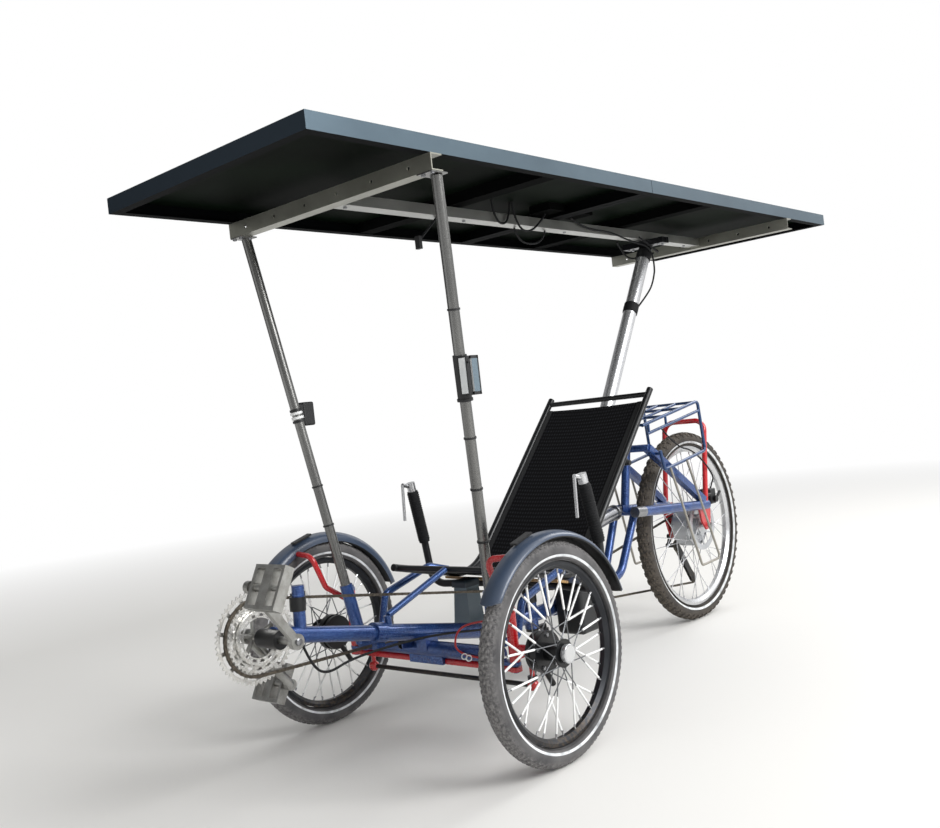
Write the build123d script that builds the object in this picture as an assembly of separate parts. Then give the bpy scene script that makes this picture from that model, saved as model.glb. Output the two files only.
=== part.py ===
from build123d import *
import math
import os

# Recumbent tricycle with two steered front wheels, one rear wheel and a roof of two solar modules.
# Millimetres. X runs to the rider's left, Y to the rear, Z up; the ground is at Z = 0.
# While the pieces are made, Y = 0 is at the front axle; they are centred when they are written.

# Driving sizes
wheelbase = 1374
halfTrack = 401.5
frontTyreR = 253
frontTyreW = 50
frontRimR = 206
rearTyreR = 333
rearTyreW = 54
rearRimR = 283
tubeR = 21
boomR = 18.5
boomSlope = 0.222
kingpinX = 280
steerArm = 57
handlePivotY = 420
fitGap = 0.3
crankLength = 170
bracketY = -478
bracketZ = 374
roofFrontY = -539
roofLength = 2526
roofWidth = 740
roofZ = 1382
roofDepth = 38
railDepth = 38
mastR = 13
rearMastR = 22.5
rearAxleZ = rearTyreR
frontAxleZ = frontTyreR
frontRailY = -181
rearRailY = 1660
railW = 36
railWall = 3
chainX = -50
chainW = 5.6
chainHalf = 4.2

pieces = {}


def vec(p):
    return Vector(*p)


def rod(p, q, r):
    """Round bar between two points."""
    a = vec(p)
    b = vec(q)
    return Solid.make_cylinder(r, (b - a).length, Plane(origin=a, z_dir=b - a))


def bent(points, radii, r):
    """Round bar along straight runs joined by arcs."""
    path = FilletPolyline(*points, radius=radii)
    section = Plane(origin=path @ 0, z_dir=path % 0) * Circle(r)
    return sweep(section, path=path)


def box(x0, x1, y0, y1, z0, z1):
    return Pos((x0 + x1) / 2, (y0 + y1) / 2, (z0 + z1) / 2) * Box(x1 - x0, y1 - y0, z1 - z0)


def slab(points, x0, x1):
    """Plate with an outline in the Y-Z plane, from x0 to x1."""
    face = make_face(Polyline(*[(x0, y, z) for y, z in points], close=True))
    return extrude(face, amount=x1 - x0, dir=(1, 0, 0))


def disc(x0, x1, y, z, r):
    return rod((x0, y, z), (x1, y, z), r)


def ring(x0, x1, y, z, r, inner):
    return disc(x0, x1, y, z, r) - disc(x0, x1, y, z, inner)


def rounded(points, most=150):
    """Largest fair arc at each corner of a cable's runs."""
    radii = []
    for a, b, c in zip(points, points[1:], points[2:]):
        u = vec(b) - vec(a)
        v = vec(c) - vec(b)
        half = math.radians(u.get_angle(v)) / 2
        radii.append(min(most, 0.45 * min(u.length, v.length) / math.tan(half)))
    return radii


def cable(points, r):
    return bent(points, rounded(points), r)


def mirrorX(shape):
    return mirror(shape, about=Plane.YZ)


def lerp(p, q, z):
    """Point at height z on the line through p and q."""
    t = (z - p[2]) / (q[2] - p[2])
    return tuple(a + (b - a) * t for a, b in zip(p, q))


# Main frame: one tube that drops from the boom, runs under the seat and rises to the roof's rear mast
def tubeZ(y):
    return 297 - boomSlope * (y + 95)


mainFrontY = -185
bendY = 230
upY = 558
lowZ = 220
mastLow = (0, 745, 505)
mastTop = (0, 1285, roofZ - 52)
pivotY = 680
pivotZ = 205
shockLugY = 735
shockLugZ = 420

mainPath = [(0, mainFrontY, tubeZ(mainFrontY)), (0, bendY, tubeZ(bendY)), (0, upY, lowZ), mastLow]
mainTube = bent(mainPath, [300, 90], tubeR)
boomAxis = (vec(mainPath[1]) - vec(mainPath[0])).normalized()
boomBackY = -40
boomBack = (0, boomBackY, tubeZ(boomBackY))
clampEnd = vec(mainPath[0]) + boomAxis * 34
collar = rod(mainPath[0], clampEnd, tubeR + 4)
clampEar = box(-9, 9, mainFrontY + 2, mainFrontY + 28, tubeZ(mainFrontY) - 42, tubeZ(mainFrontY) - 22)
headBottom = lowZ - 34
headTop = lowZ + 40
headR = 20
headBoreR = 13
headTube = rod((0, handlePivotY, headBottom), (0, handlePivotY, headTop), headR)
pivotPlate = [(upY - 20, 205), (upY + 20, 262), (pivotY + 8, pivotZ + 20), (pivotY + 20, pivotZ),
              (pivotY + 8, pivotZ - 20), (upY - 5, 190)]
shockPlate = [(650, 390), (690, 440), (shockLugY + 12, shockLugZ + 12), (shockLugY + 12, shockLugZ - 12)]
mainFrame = mainTube + collar + clampEar + headTube
for x in (-24, 18):
    mainFrame += slab(pivotPlate, x, x + 6)
    mainFrame += slab(shockPlate, x + 1, x + 5)
mainFrame += box(-122, -15, 236, 290, 218, 221) + box(-120, -68, 240, 288, 220, 231.8)
mastDir = (vec(mastTop) - vec(mastLow)).normalized()
socketEnd = vec(mastLow) + mastDir * 70
socketStart = vec(mastLow) - mastDir * 10
mainFrame += rod(tuple(socketStart), tuple(socketEnd), rearMastR + 4)
mainFrame -= rod(mastLow, tuple(vec(mastLow) + mastDir * 80), rearMastR + 0.2)
mainFrame -= rod(tuple(vec(mainPath[0]) - boomAxis * 5), boomBack, boomR + 0.4)
mainFrame -= rod((0, handlePivotY, headBottom - 5), (0, handlePivotY, headTop + 5), headBoreR)
pivotPinR = 8
pivotHalf = 44
mainFrame += disc(-pivotHalf - 3, pivotHalf + 3, pivotY, pivotZ, pivotPinR)
for y, z in ((-60, 275.3), (125, 250), (180, 239.8)):
    mainFrame += disc(16.5, 26.8, y, z, 3.5)
idlerAt = (603, 289)
mainFrame += disc(chainX - 8, 0, *idlerAt, 5)
pieces["main_frame"] = mainFrame

# Boom with the bottom bracket shell at its front end
shellR = 21
shellHalf = 34
postR = 14.3
boomFront = (0, bracketY + 4, tubeZ(bracketY + 4))
boom = rod(boomFront, (0, boomBackY - 4, tubeZ(boomBackY - 4)), boomR)
postY = bracketY + 80
postTopZ = bracketZ + 100
boom += rod((0, postY, tubeZ(postY)), (0, postY + 6, postTopZ), postR)
boom -= disc(-60, 60, bracketY, bracketZ, shellR + 0.1)
pieces["boom"] = boom
spindleR = 8.5
pieces["bottom_bracket"] = ring(-shellHalf, shellHalf, bracketY, bracketZ, shellR, spindleR + 0.5)

# Cross beam with mast sockets and kingpin lugs at its ends
beamZ = 235
beamY = -5
beamR = 20
beamHalf = 245
mastFoot = (239, -13, beamZ)
mastHead = (349, frontRailY + railW / 2, roofZ - railDepth - 3)
socketTopZ = 395
seatZ = 300
kingLowZ = 214
kingHighZ = 372
lugT = 8
kingpinR = 7
socketTop = lerp(mastFoot, mastHead, socketTopZ)
mastSeat = lerp(mastFoot, mastHead, seatZ)
lugMid = lerp(mastFoot, mastHead, kingHighZ + lugT / 2)


def kingpinEnd():
    end = rod(mastFoot, socketTop, mastR + 4)
    end -= rod(mastSeat, lerp(mastFoot, mastHead, socketTopZ + 20), mastR + 0.2)
    low = Pos(kingpinX, 0, kingLowZ + lugT / 2) * Cylinder(14, lugT)
    low += box(225, kingpinX, -13, 13, kingLowZ, kingLowZ + lugT)
    high = Pos(kingpinX, 0, kingHighZ + lugT / 2) * Cylinder(14, lugT)
    side = vec((kingpinX - lugMid[0], -lugMid[1], 0))
    across = Vector(-side.Y, side.X, 0).normalized() * 13
    corners = [vec((lugMid[0], lugMid[1], kingHighZ)) - across, vec((lugMid[0], lugMid[1], kingHighZ)) + across,
               vec((kingpinX, 0, kingHighZ)) + across, vec((kingpinX, 0, kingHighZ)) - across]
    strip = extrude(make_face(Polyline(*corners, close=True)), amount=lugT, dir=(0, 0, 1))
    strip -= rod(mastSeat, lerp(mastFoot, mastHead, socketTopZ + 20), mastR + 0.2)
    pin = rod((kingpinX, 0, 196), (kingpinX, 0, kingHighZ + lugT + 6), kingpinR)
    pin += Pos(kingpinX, 0, kingHighZ + lugT + 3) * Cylinder(11, 6)
    return end + low + high + strip + pin


crossBeam = rod((-beamHalf, beamY, beamZ), (beamHalf, beamY, beamZ), beamR)
crossBeam += box(-17, 17, beamY - 22, beamY + 22, beamZ, tubeZ(beamY) - 4)
crossBeam += box(-58, 58, beamY - 12, beamY + 22, 199, beamZ - 14)
crossBeam += kingpinEnd() + mirrorX(kingpinEnd())
guideAt = (-48, 252)
crossBeam += slab([(guideAt[0] - 8, guideAt[1] - 8), (guideAt[0] - 8, guideAt[1] + 8), (beamY, guideAt[1] + 2),
                   (beamY, beamZ)], chainX + 9, chainX + 13)
crossBeam += disc(chainX - 8, chainX + 11, *guideAt, 4)
crossBeam -= mainTube
crossBeam -= rod(mainPath[0], boomBack, tubeR)
pieces["cross_beam"] = crossBeam

# Lower arms from the beam's bracket to the kingpins
armZ = 205
lowerArm = rod((58, 0, armZ), (kingpinX - 12, 0, armZ), 8.5)
lowerArm += Pos(kingpinX, 0, armZ) * Cylinder(15, 11)
lowerArm -= rod((kingpinX, 0, 190), (kingpinX, 0, 220), kingpinR)
pieces["lower_arms"] = Compound([lowerArm, mirrorX(lowerArm)])

# Seat: side rails, cross tubes and a sling between them
seatHalf = 190
seatTubeR = 10
seatFront = (85, 420)
seatCrease = (405, 338)
seatTop = (890, 830)
seatBend = 140
seatRailPts = [seatFront, seatCrease, seatTop]


def seatRail(x):
    return bent([(x, y, z) for y, z in seatRailPts], [seatBend], seatTubeR)


def onRail(y):
    a, b = (seatFront, seatCrease) if y < seatCrease[0] else (seatCrease, seatTop)
    return a[1] + (b[1] - a[1]) * (y - a[0]) / (b[0] - a[0])


seatFrame = seatRail(seatHalf) + seatRail(-seatHalf)
slingT = 8
for y in (100, 875):
    seatFrame += rod((-seatHalf, y, onRail(y)), (seatHalf, y, onRail(y)), 8)
backDir = Vector(0, seatTop[0] - seatCrease[0], seatTop[1] - seatCrease[1]).normalized()
backOut = Vector(0, backDir.Z, -backDir.Y)
for y in (480, 700):
    mid = vec((0, y, onRail(y))) + backOut * 26
    for side in (1, -1):
        seatFrame += rod((side * seatHalf, y, onRail(y)), (side * seatHalf, mid.Y, mid.Z), 7)
    seatFrame += rod((-seatHalf - 8, mid.Y, mid.Z), (seatHalf + 8, mid.Y, mid.Z), 8)
pieces["seat_frame"] = seatFrame

slingPath = [(124, onRail(124)), seatCrease, (854, onRail(854))]
slingLine = FilletPolyline(*[(0, y, z) for y, z in slingPath], radius=[seatBend])
slingFace = Plane(origin=slingLine @ 0, x_dir=(1, 0, 0), z_dir=slingLine % 0) * Rectangle(
    2 * (seatHalf - seatTubeR - 0.5), slingT)
pieces["seat_sling"] = sweep(slingFace, path=slingLine)

# Struts that carry the seat: one from the boom clamp, one post behind and stays from the beam's ends
strutFootY = -128
strutFoot = (0, strutFootY, tubeZ(strutFootY) + tubeR + 22)
strutHead = (0, 88, onRail(100) + 1)
seatStrut = rod(strutFoot, strutHead, 8.5)
seatStrut += rod((0, strutFootY, tubeZ(strutFootY)), (0, strutFootY - 4, strutFoot[2]), 9)
seatStrut -= mainTube
seatStrut -= rod(mainPath[0], boomBack, tubeR)
seatStrut -= rod((-40, 100, onRail(100)), (40, 100, onRail(100)), 8)
backPostY = 480
postMid = vec((0, backPostY, onRail(backPostY))) + backOut * 26
rearPost = rod((0, postMid.Y, lowZ), (0, postMid.Y, postMid.Z), 10)
rearPost -= mainTube
rearPost -= rod((-40, postMid.Y, postMid.Z), (40, postMid.Y, postMid.Z), 8)

stayPath = [(215, 8, 248), (240, 66, 264), (243, 94, 345), (238, 270, 389), (206, 318, 371)]
sideStay = bent(stayPath, [22, 26, 22], 10)
sideStay -= rod((-beamHalf, beamY, beamZ), (beamHalf, beamY, beamZ), beamR)
sideStay -= seatRail(seatHalf)
pieces["seat_stays"] = Compound([seatStrut, rearPost, sideStay, mirrorX(sideStay)])

slatY = (297, 345)
slatT = 7
slatTop = [(y, onRail(y) - seatTubeR - 0.6) for y in slatY]
slatLow = [(y, z - slatT) for y, z in reversed(slatTop)]
pieces["seat_slat"] = slab(slatTop + slatLow, -seatHalf - 12, seatHalf + 12)

# Battery box beside the main tube, on a plate of the frame, with an overhanging lid
boxLow = (-124, -64, 232, 294)
boxHigh = (-114, -68, 236, 288)
boxBottomZ = 231.8
boxTopZ = 337
lidTopZ = 357


def outlineAt(limits, z):
    x0, x1, y0, y1 = limits
    return make_face(Polyline((x0, y0, z), (x1, y0, z), (x1, y1, z), (x0, y1, z), close=True))


battery = loft([outlineAt(boxLow, boxBottomZ), outlineAt(boxHigh, boxTopZ)])
lid = box(boxHigh[0] - 4, boxHigh[1] + 2, boxHigh[2] - 4, boxHigh[3] + 2, boxTopZ, lidTopZ)
lid = fillet(lid.edges().group_by(Axis.Z)[-1], 8)
pieces["battery_box"] = battery + lid
controller = box(24.2, 118, 505, 640, 150, 300)
pieces["controller_box"] = fillet(controller.edges(), 12)

# Swinging rear frame
stayX = 80
yokeY = wheelbase - 409
yokeZ = 441
stayEndY = wheelbase - 6
stayEndZ = 405.5
chainstayR = 16.5
pivotArmX = 30
upperY = wheelbase - 359
upperZ = 641
seatstayFoot = (wheelbase - 29, 424)


def stayAt(side, y):
    return (side * stayX, y, yokeZ + (y - yokeY) * (stayEndZ - yokeZ) / (stayEndY - yokeY))


swingarm = ring(-pivotHalf, pivotHalf, pivotY, pivotZ, 15, pivotPinR)
swingarm += rod((-stayX - 8, yokeY, yokeZ), (stayX + 8, yokeY, yokeZ), 14)
swingarm += rod((0, yokeY, yokeZ), (0, upperY, upperZ), 14)
swingarm += rod((-stayX - 8, upperY, upperZ), (stayX + 8, upperY, upperZ), 12)
for side in (1, -1):
    arm = bent([(side * pivotArmX, pivotY, pivotZ), (side * pivotArmX, wheelbase - 514, 262),
                (side * (pivotArmX + 8), yokeY, yokeZ)], [60], 13)
    swingarm += arm
    swingarm += rod(stayAt(side, yokeY - 15), (side * stayX, stayEndY, stayEndZ), chainstayR)
    top = vec((side * stayX, upperY, upperZ))
    foot = vec((side * stayX, seatstayFoot[0], seatstayFoot[1]))
    square = Plane(origin=top, x_dir=(1, 0, 0), z_dir=foot - top) * Rectangle(24, 24)
    swingarm += extrude(square, amount=(foot - top).length, dir=(foot - top).normalized())
swingarm -= disc(-80, 80, pivotY, pivotZ, pivotPinR)
swingarm -= box(-25, 25, pivotY - 30, pivotY + 30, pivotZ - 30, pivotZ + 30)
shockEyeY = wheelbase - 434
shockEyeZ = 452
swingarm += slab([(shockEyeY - 12, shockEyeZ - 8), (shockEyeY - 12, shockEyeZ + 14), (yokeY, yokeZ + 22),
                  (yokeY, yokeZ - 8)], 14, 19)
swingarm += slab([(shockEyeY - 12, shockEyeZ - 8), (shockEyeY - 12, shockEyeZ + 14), (yokeY, yokeZ + 22),
                  (yokeY, yokeZ - 8)], -19, -14)
pieces["swingarm"] = swingarm

# Coil shock absorber between the frame and the swinging frame, and sleeves on the stays' front ends
shockA = vec((0, shockLugY, shockLugZ))
shockB = vec((0, shockEyeY, shockEyeZ))
shockDir = (shockB - shockA).normalized()
shock = rod(tuple(shockA), tuple(shockB), 7)
shock += disc(-19, 19, shockLugY, shockLugZ, 9) + disc(-14, 14, shockEyeY, shockEyeZ, 9)
shock += rod(tuple(shockA + shockDir * 30), tuple(shockA + shockDir * 165), 22)
shock += rod(tuple(shockA + shockDir * 22), tuple(shockA + shockDir * 30), 26)
shock += rod(tuple(shockA + shockDir * 165), tuple(shockA + shockDir * 172), 26)
sleeves = [rod(stayAt(side, yokeY - 66), stayAt(side, yokeY - 15), chainstayR + 1) for side in (1, -1)]
pieces["rear_shock"] = Compound([shock, *sleeves])

# Dropouts and the arch over the rear wheel
dropX = 68
dropT = 7
leftDropout = [(wheelbase - 54, 412), (wheelbase + 20, 414), (wheelbase + 26, 380), (wheelbase + 12, 320),
               (wheelbase - 14, 318), (wheelbase - 40, 350)]
rightDropout = [(wheelbase - 54, 412), (wheelbase + 20, 414), (wheelbase + 26, 380), (wheelbase + 8, 282),
                (wheelbase - 16, 282), (wheelbase - 40, 350)]
archR = 9
archX = 80
archFoot = (wheelbase - 13, 412)
archTop = (wheelbase + 41, 702)
arch = bent([(archX, *archFoot), (archX, *archTop), (-archX, *archTop), (-archX, *archFoot)], [38, 38], archR)
axleR = 6
dropouts = arch
dropouts += slab(leftDropout, dropX, dropX + dropT) + slab(rightDropout, -dropX - dropT, -dropX)
dropouts -= swingarm
dropouts -= disc(-90, 90, wheelbase, rearAxleZ, axleR)
pieces["rear_arch"] = dropouts

# Luggage rack behind the seat, tilted with its front end low
rackX = 110
rackR = 5.5
rackRearY = wheelbase - 47
rackRearZ = 773
rackFrontY = rackRearY - 367
rackSlope = 0.148
railDrop = 33


def rackZ(y):
    return rackRearZ - rackSlope * (rackRearY - y)


rackCrossR = 4.8
rackLowR = 5.1
rackPostR = 4.2
rack = rod((-rackX, rackFrontY, rackZ(rackFrontY)), (rackX, rackFrontY, rackZ(rackFrontY)), rackCrossR)
for y in (rackRearY - 242, rackRearY - 122, rackRearY - 22):
    rack += rod((-rackX, y, rackZ(y)), (rackX, y, rackZ(y)), rackCrossR)
for side in (1, -1):
    x = side * rackX
    rack += bent([(x, rackFrontY - 9, rackZ(rackFrontY - 9)), (x, rackRearY, rackRearZ), (x, rackRearY + 17, 599),
                  (x, rackRearY - 267, 562), (x, rackRearY - 283, 628)], [16, 16, 16], rackR)
    railY = rackRearY - 352
    rack += rod((x, railY, rackZ(railY) - railDrop), (x, rackRearY + 4, rackRearZ - railDrop), rackLowR)
    for y in (rackRearY - 339, rackRearY - 227):
        rack += rod((x, y, rackZ(y)), (x, y, rackZ(y) - railDrop), rackPostR)
    rack += rod((side * 92.3, rackRearY - 281, 618), (x, rackRearY - 281, 618), rackCrossR)
for x in (-36, 36):
    rack += rod((x, rackFrontY, rackZ(rackFrontY)), (x, rackRearY - 22, rackZ(rackRearY - 22)), rackCrossR)
pieces["rack"] = rack

hoopPath = [(118, rackRearY - 243, 566), (132, rackRearY - 130, 222), (132, rackRearY - 1, 226),
            (118, rackRearY - 131, 580)]
hoop = bent(hoopPath, [12, 12], 4)
hoop -= rack
pieces["rack_hoops"] = Compound([hoop, mirrorX(hoop)])

# Masts
masts = []
for side in (1, -1):
    mast = rod(lerp(mastFoot, mastHead, seatZ + 0.5), mastHead, mastR)
    mast += box(mastHead[0] - 26, mastHead[0] + 20, frontRailY - railW / 2, mastHead[1] + 15, mastHead[2],
                mastHead[2] + 3)
    masts.append(mast if side > 0 else mirrorX(mast))
pieces["front_masts"] = Compound(masts)
spineZ = roofZ - 20
rearMast = rod(tuple(vec(mastLow) + mastDir * 0.5), mastTop, rearMastR)
rearMast += box(-80, 80, mastTop[1] - 22, mastTop[1] + 22, mastTop[2] + 2, spineZ - 10)
pieces["rear_mast"] = rearMast

# Aluminium rails under the roof
def channel(y):
    outer = box(-roofWidth / 2, roofWidth / 2, y - railW / 2, y + railW / 2, roofZ - railDepth, roofZ)
    inner = box(-roofWidth / 2, roofWidth / 2, y - railW / 2 + railWall, y + railW / 2,
                roofZ - railDepth + railWall, roofZ - railWall)
    return outer - inner


frontRail = channel(frontRailY)
rearRail = channel(rearRailY)
for x in (-300, -180, -60, 60, 180, 300):
    for y in (frontRailY, rearRailY):
        hole = Pos(x, y - railW / 2, roofZ - railDepth / 2) * Rot(90, 0, 0) * Cylinder(4.5, 12)
        frontRail -= hole
        rearRail -= hole
pieces["cross_rails"] = Compound([frontRail, rearRail])
spineW = 44
spine = box(-spineW / 2, spineW / 2, frontRailY + railW / 2 + 0.2, rearRailY - railW / 2 - 0.2, spineZ - 10, spineZ)
for x in (-spineW / 2, spineW / 2 - 9):
    spine += box(x, x + 9, frontRailY + railW / 2 + 0.2, rearRailY - railW / 2 - 0.2, spineZ, roofZ - 2.2)
pieces["spine_rail"] = spine

# Roof modules: a profile frame round a glass laminate
moduleGap = 2
moduleL = (roofLength - moduleGap) / 2
frameWall = 11
frameLip = 26
lipT = 2
laminateT = 5
laminateDrop = 1.5
shells = []
laminates = []
for y0 in (roofFrontY, roofFrontY + moduleL + moduleGap):
    y1 = y0 + moduleL
    x1 = roofWidth / 2
    top = roofZ + roofDepth
    shell = box(-x1, x1, y0, y1, roofZ, top)
    shell -= box(-x1 + frameLip, x1 - frameLip, y0 + frameLip, y1 - frameLip, roofZ - 1, roofZ + lipT + 1)
    shell -= box(-x1 + frameWall, x1 - frameWall, y0 + frameWall, y1 - frameWall, roofZ + lipT, top + 1)
    shells.append(shell)
    laminates.append(box(-x1 + frameWall, x1 - frameWall, y0 + frameWall, y1 - frameWall,
                         top - laminateDrop - laminateT, top - laminateDrop))
pieces["module_frames"] = Compound(shells)
pieces["module_glass"] = Compound(laminates)
barW = 50
barTopZ = roofZ + roofDepth - laminateDrop - laminateT
roofBars = []
for y in (272, 1112):
    roofBars.append(box(-roofWidth / 2 + frameWall, roofWidth / 2 - frameWall, y - barW / 2, y + barW / 2,
                        roofZ + lipT, barTopZ))
pieces["roof_bars"] = Compound(roofBars)


# Front wheels, steering knuckles and fenders, made for the left side and mirrored
def tyre(x, y, z, outer, bead, width):
    r = (outer - bead) / 2 + 1.5
    mid = outer - r
    section = Plane(origin=(x, y, z), x_dir=(1, 0, 0), z_dir=(0, -1, 0)) * (
        Pos(0, mid) * Ellipse(width / 2, r) - Pos(0, bead - 20) * Rectangle(2 * width, 40))
    return revolve(section, axis=Axis((x, y, z), (1, 0, 0)))


def rim(x, y, z, bead, width, depth):
    section = Plane(origin=(x, y, z), x_dir=(1, 0, 0), z_dir=(0, -1, 0)) * make_face(Polyline(
        (-width / 2, bead - 0.2), (width / 2, bead - 0.2), (width / 2, bead - depth * 0.5),
        (width * 0.22, bead - depth), (-width * 0.22, bead - depth), (-width / 2, bead - depth * 0.5), close=True))
    return revolve(section, axis=Axis((x, y, z), (1, 0, 0)))


def spokes(x, y, z, count, outerEnd, innerEnd, rimR, r, sleeve=None):
    """Crossed spokes as separate bars, from two flanges to the rim, with a thicker sleeve on each if named."""
    bars = []
    for i in range(count):
        side, (flangeX, flangeR) = (1, outerEnd) if i % 2 else (-1, innerEnd)
        lean = math.radians(24 if i % 4 < 2 else -24)
        a = 2 * math.pi * i / count
        b = a + lean * 1.6
        p = vec((x + side * flangeX, y + flangeR * math.sin(b), z + flangeR * math.cos(b)))
        q = vec((x + side * 4, y + rimR * math.sin(a), z + rimR * math.cos(a)))
        bar = rod(tuple(p), tuple(q), r)
        if sleeve:
            near, far, sleeveRadius = sleeve
            along = (q - p).normalized()
            span = (q - p).length
            bar += rod(tuple(q - along * min(span, rimR - near)), tuple(q - along * (rimR - far)), sleeveRadius)
        bars.append(bar)
    return Compound(bars)


hubX = halfTrack
frontRimDepth = 17
drumR = 48
outerFlangeR = 32
stubR = 7
sleeveR = 2.6
sleeveFrom = 96
sleeveTo = 178
frontTyre = tyre(hubX, 0, frontAxleZ, frontTyreR, frontRimR, frontTyreW)
frontRim = rim(hubX, 0, frontAxleZ, frontRimR, 27, frontRimDepth)
frontSpokes = spokes(hubX, 0, frontAxleZ, 32, (24, outerFlangeR + 1.2), (24, drumR + 1.2),
                     frontRimR - frontRimDepth - 0.6, 1.4, (sleeveFrom, sleeveTo, sleeveR))
frontHub = disc(hubX - 30, hubX + 30, 0, frontAxleZ, 20)
frontHub += disc(hubX + 22, hubX + 26, 0, frontAxleZ, outerFlangeR) + disc(hubX - 37, hubX - 20, 0, frontAxleZ, drumR)
frontHub -= disc(hubX - 60, hubX + 60, 0, frontAxleZ, stubR + 0.3)
hubCap = disc(hubX + 30.2, hubX + 42, 0, frontAxleZ, 17.5)

knuckleR = 13
knuckleLowZ = kingLowZ + lugT + fitGap
knuckleHighZ = kingHighZ - fitGap
knuckle = rod((kingpinX, 0, knuckleLowZ), (kingpinX, 0, knuckleHighZ), knuckleR)
knuckle += disc(kingpinX + 5, hubX - 42, 0, frontAxleZ, 11)
knuckle += disc(kingpinX + 5, hubX + 30, 0, frontAxleZ, stubR)
knuckle += box(kingpinX - 8, kingpinX + 8, 0, steerArm, 226, 236)
knuckle += rod((kingpinX, steerArm, 142), (kingpinX, steerArm, 236), 6)
knuckle += rod((kingpinX, steerArm, 226), (kingpinX, steerArm, 236), 10)
fenderArmPath = [(290, 0, 345), (306, -62, 392), (311, -96, 482), (378, -90, 487)]
fenderArm = bent(fenderArmPath, [24, 24], 7.5)
knuckle += fenderArm
knuckle -= rod((kingpinX, 0, 200), (kingpinX, 0, 400), kingpinR + 0.1)

fenderR = 276
fenderHalf = 30
fenderT = 3
fenderY = 8
fenderProfile = [(-fenderHalf, -26), (-27, -10), (-20, -3), (-9, 0), (9, 0), (22, -4), (fenderHalf, -14)]
fenderFrom = 18
fenderTo = 146
outerLine = [(x, fenderR + dr) for x, dr in fenderProfile]
innerLine = [(x * (fenderHalf - fenderT) / fenderHalf, fenderR + dr - fenderT) for x, dr in reversed(fenderProfile)]
fenderPlane = Plane(origin=(hubX, fenderY, frontAxleZ), x_dir=(1, 0, 0), z_dir=(0, 0, 1))
fenderFace = fenderPlane * make_face(Polyline(*outerLine, *innerLine, close=True))
fenderAxis = Axis((hubX, fenderY, frontAxleZ), (1, 0, 0))
fender = revolve(fenderFace.rotate(fenderAxis, fenderFrom), axis=fenderAxis, revolution_arc=fenderTo - fenderFrom)
knuckle -= fender

brakePlate = ring(hubX - 52, hubX - 42, 0, frontAxleZ, 46, 11.2)
brakePlate += rod((hubX - 47, 10, frontAxleZ - 40), (hubX - 47, 40, frontAxleZ - 88), 7)

for name, place in (("left", lambda s: s), ("right", mirrorX)):
    pieces["front_tyre_" + name] = place(frontTyre)
    pieces["front_rim_" + name] = place(frontRim)
    pieces["front_spokes_" + name] = place(frontSpokes)
    pieces["front_hub_" + name] = Compound([place(frontHub), place(hubCap)])
    # The right steering arm also points to the rear, so the track rod keeps its length
    pieces["knuckle_" + name] = place(knuckle)
    pieces["fender_" + name] = place(fender)
    pieces["brake_plate_" + name] = place(brakePlate)

# Steering: handlebar under the seat, a link to the left knuckle and a rod between the knuckles
barZ = 319
barR = 11
gripFoot = (316, 345, 440)
gripHead = (312, 312, 600)
barPath = [(0, handlePivotY, barZ), (306, 352, barZ), gripFoot, gripHead]
linkZ = 168
rodZ = 150
dropZ = headBottom - fitGap
handlebar = bent(barPath, [46, 90], barR)
handlebar += mirrorX(handlebar)
handlebar += rod((0, handlePivotY, dropZ - 8), (0, handlePivotY, barZ + 14), headBoreR - 0.5)
handlebar += rod((0, handlePivotY, headTop + fitGap), (0, handlePivotY, barZ + 16), 22)
handlebar += rod((0, handlePivotY, dropZ - 8), (0, handlePivotY, dropZ), 18)
handlebar += box(-8, 8, handlePivotY, handlePivotY + steerArm, dropZ - 8, dropZ)
handlebar += rod((0, handlePivotY + steerArm, linkZ - 8), (0, handlePivotY + steerArm, dropZ), 6)
pieces["handlebar"] = handlebar

gripDir = (vec(gripHead) - vec(gripFoot)).normalized()
grip = rod(tuple(vec(gripFoot) + gripDir * 8), tuple(vec(gripHead) + gripDir * 4), 16)
grip -= handlebar
pieces["grips"] = Compound([grip, mirrorX(grip)])
leverTop = vec(gripHead) + gripDir * 5
lever = rod(tuple(leverTop), tuple(leverTop + gripDir * 26), 13)
leverKnee = leverTop + Vector(0, -38, 22)
lever += rod(tuple(leverTop + gripDir * 13), tuple(leverKnee), 6)
lever += rod(tuple(leverKnee), tuple(leverKnee + Vector(0, -6, -105)), 4.5)
pieces["brake_levers"] = Compound([lever, mirrorX(lever)])


def link(p, q, z, r, pinR):
    """Rod with an eye round a vertical pin at each end."""
    body = rod((*p, z), (*q, z), r)
    for end in (p, q):
        body += Pos(*end, z) * Cylinder(12, 10)
    for end in (p, q):
        body -= Pos(*end, z) * Cylinder(pinR + fitGap, 30)
    return body


pieces["drag_link"] = link((0, handlePivotY + steerArm), (kingpinX, steerArm), linkZ, 6, 6)
pieces["track_rod"] = link((-kingpinX, steerArm), (kingpinX, steerArm), rodZ, 6, 6)

# Rear wheel with a hub motor
rearTyre = tyre(0, wheelbase, rearAxleZ, rearTyreR, rearRimR, rearTyreW)
pieces["rear_tyre"] = rearTyre
pieces["rear_rim"] = rim(0, wheelbase, rearAxleZ, rearRimR, 30, 20)
motorR = 74
motorHalf = 28
pieces["rear_spokes"] = spokes(0, wheelbase, rearAxleZ, 36, (22, motorR + 1.4), (22, motorR + 1.4),
                               rearRimR - 20.8, 1.5)
motor = disc(-motorHalf, motorHalf, wheelbase, rearAxleZ, motorR)
motor += disc(-38, 46, wheelbase, rearAxleZ, 38)
motor += disc(-dropX + fitGap, dropX - fitGap, wheelbase, rearAxleZ, 9)
motor += disc(-dropX - 14, dropX + 14, wheelbase, rearAxleZ, axleR - 0.3)
sprocketTable = ((-62.6, 22), (-58.4, 28), (-54.2, 34), (chainX, 35.4), (-45.8, 47), (-41.6, 54))
sprocketT = 1.6
motor += ring(-63.4, -38, wheelbase, rearAxleZ, 19, 9)
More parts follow.
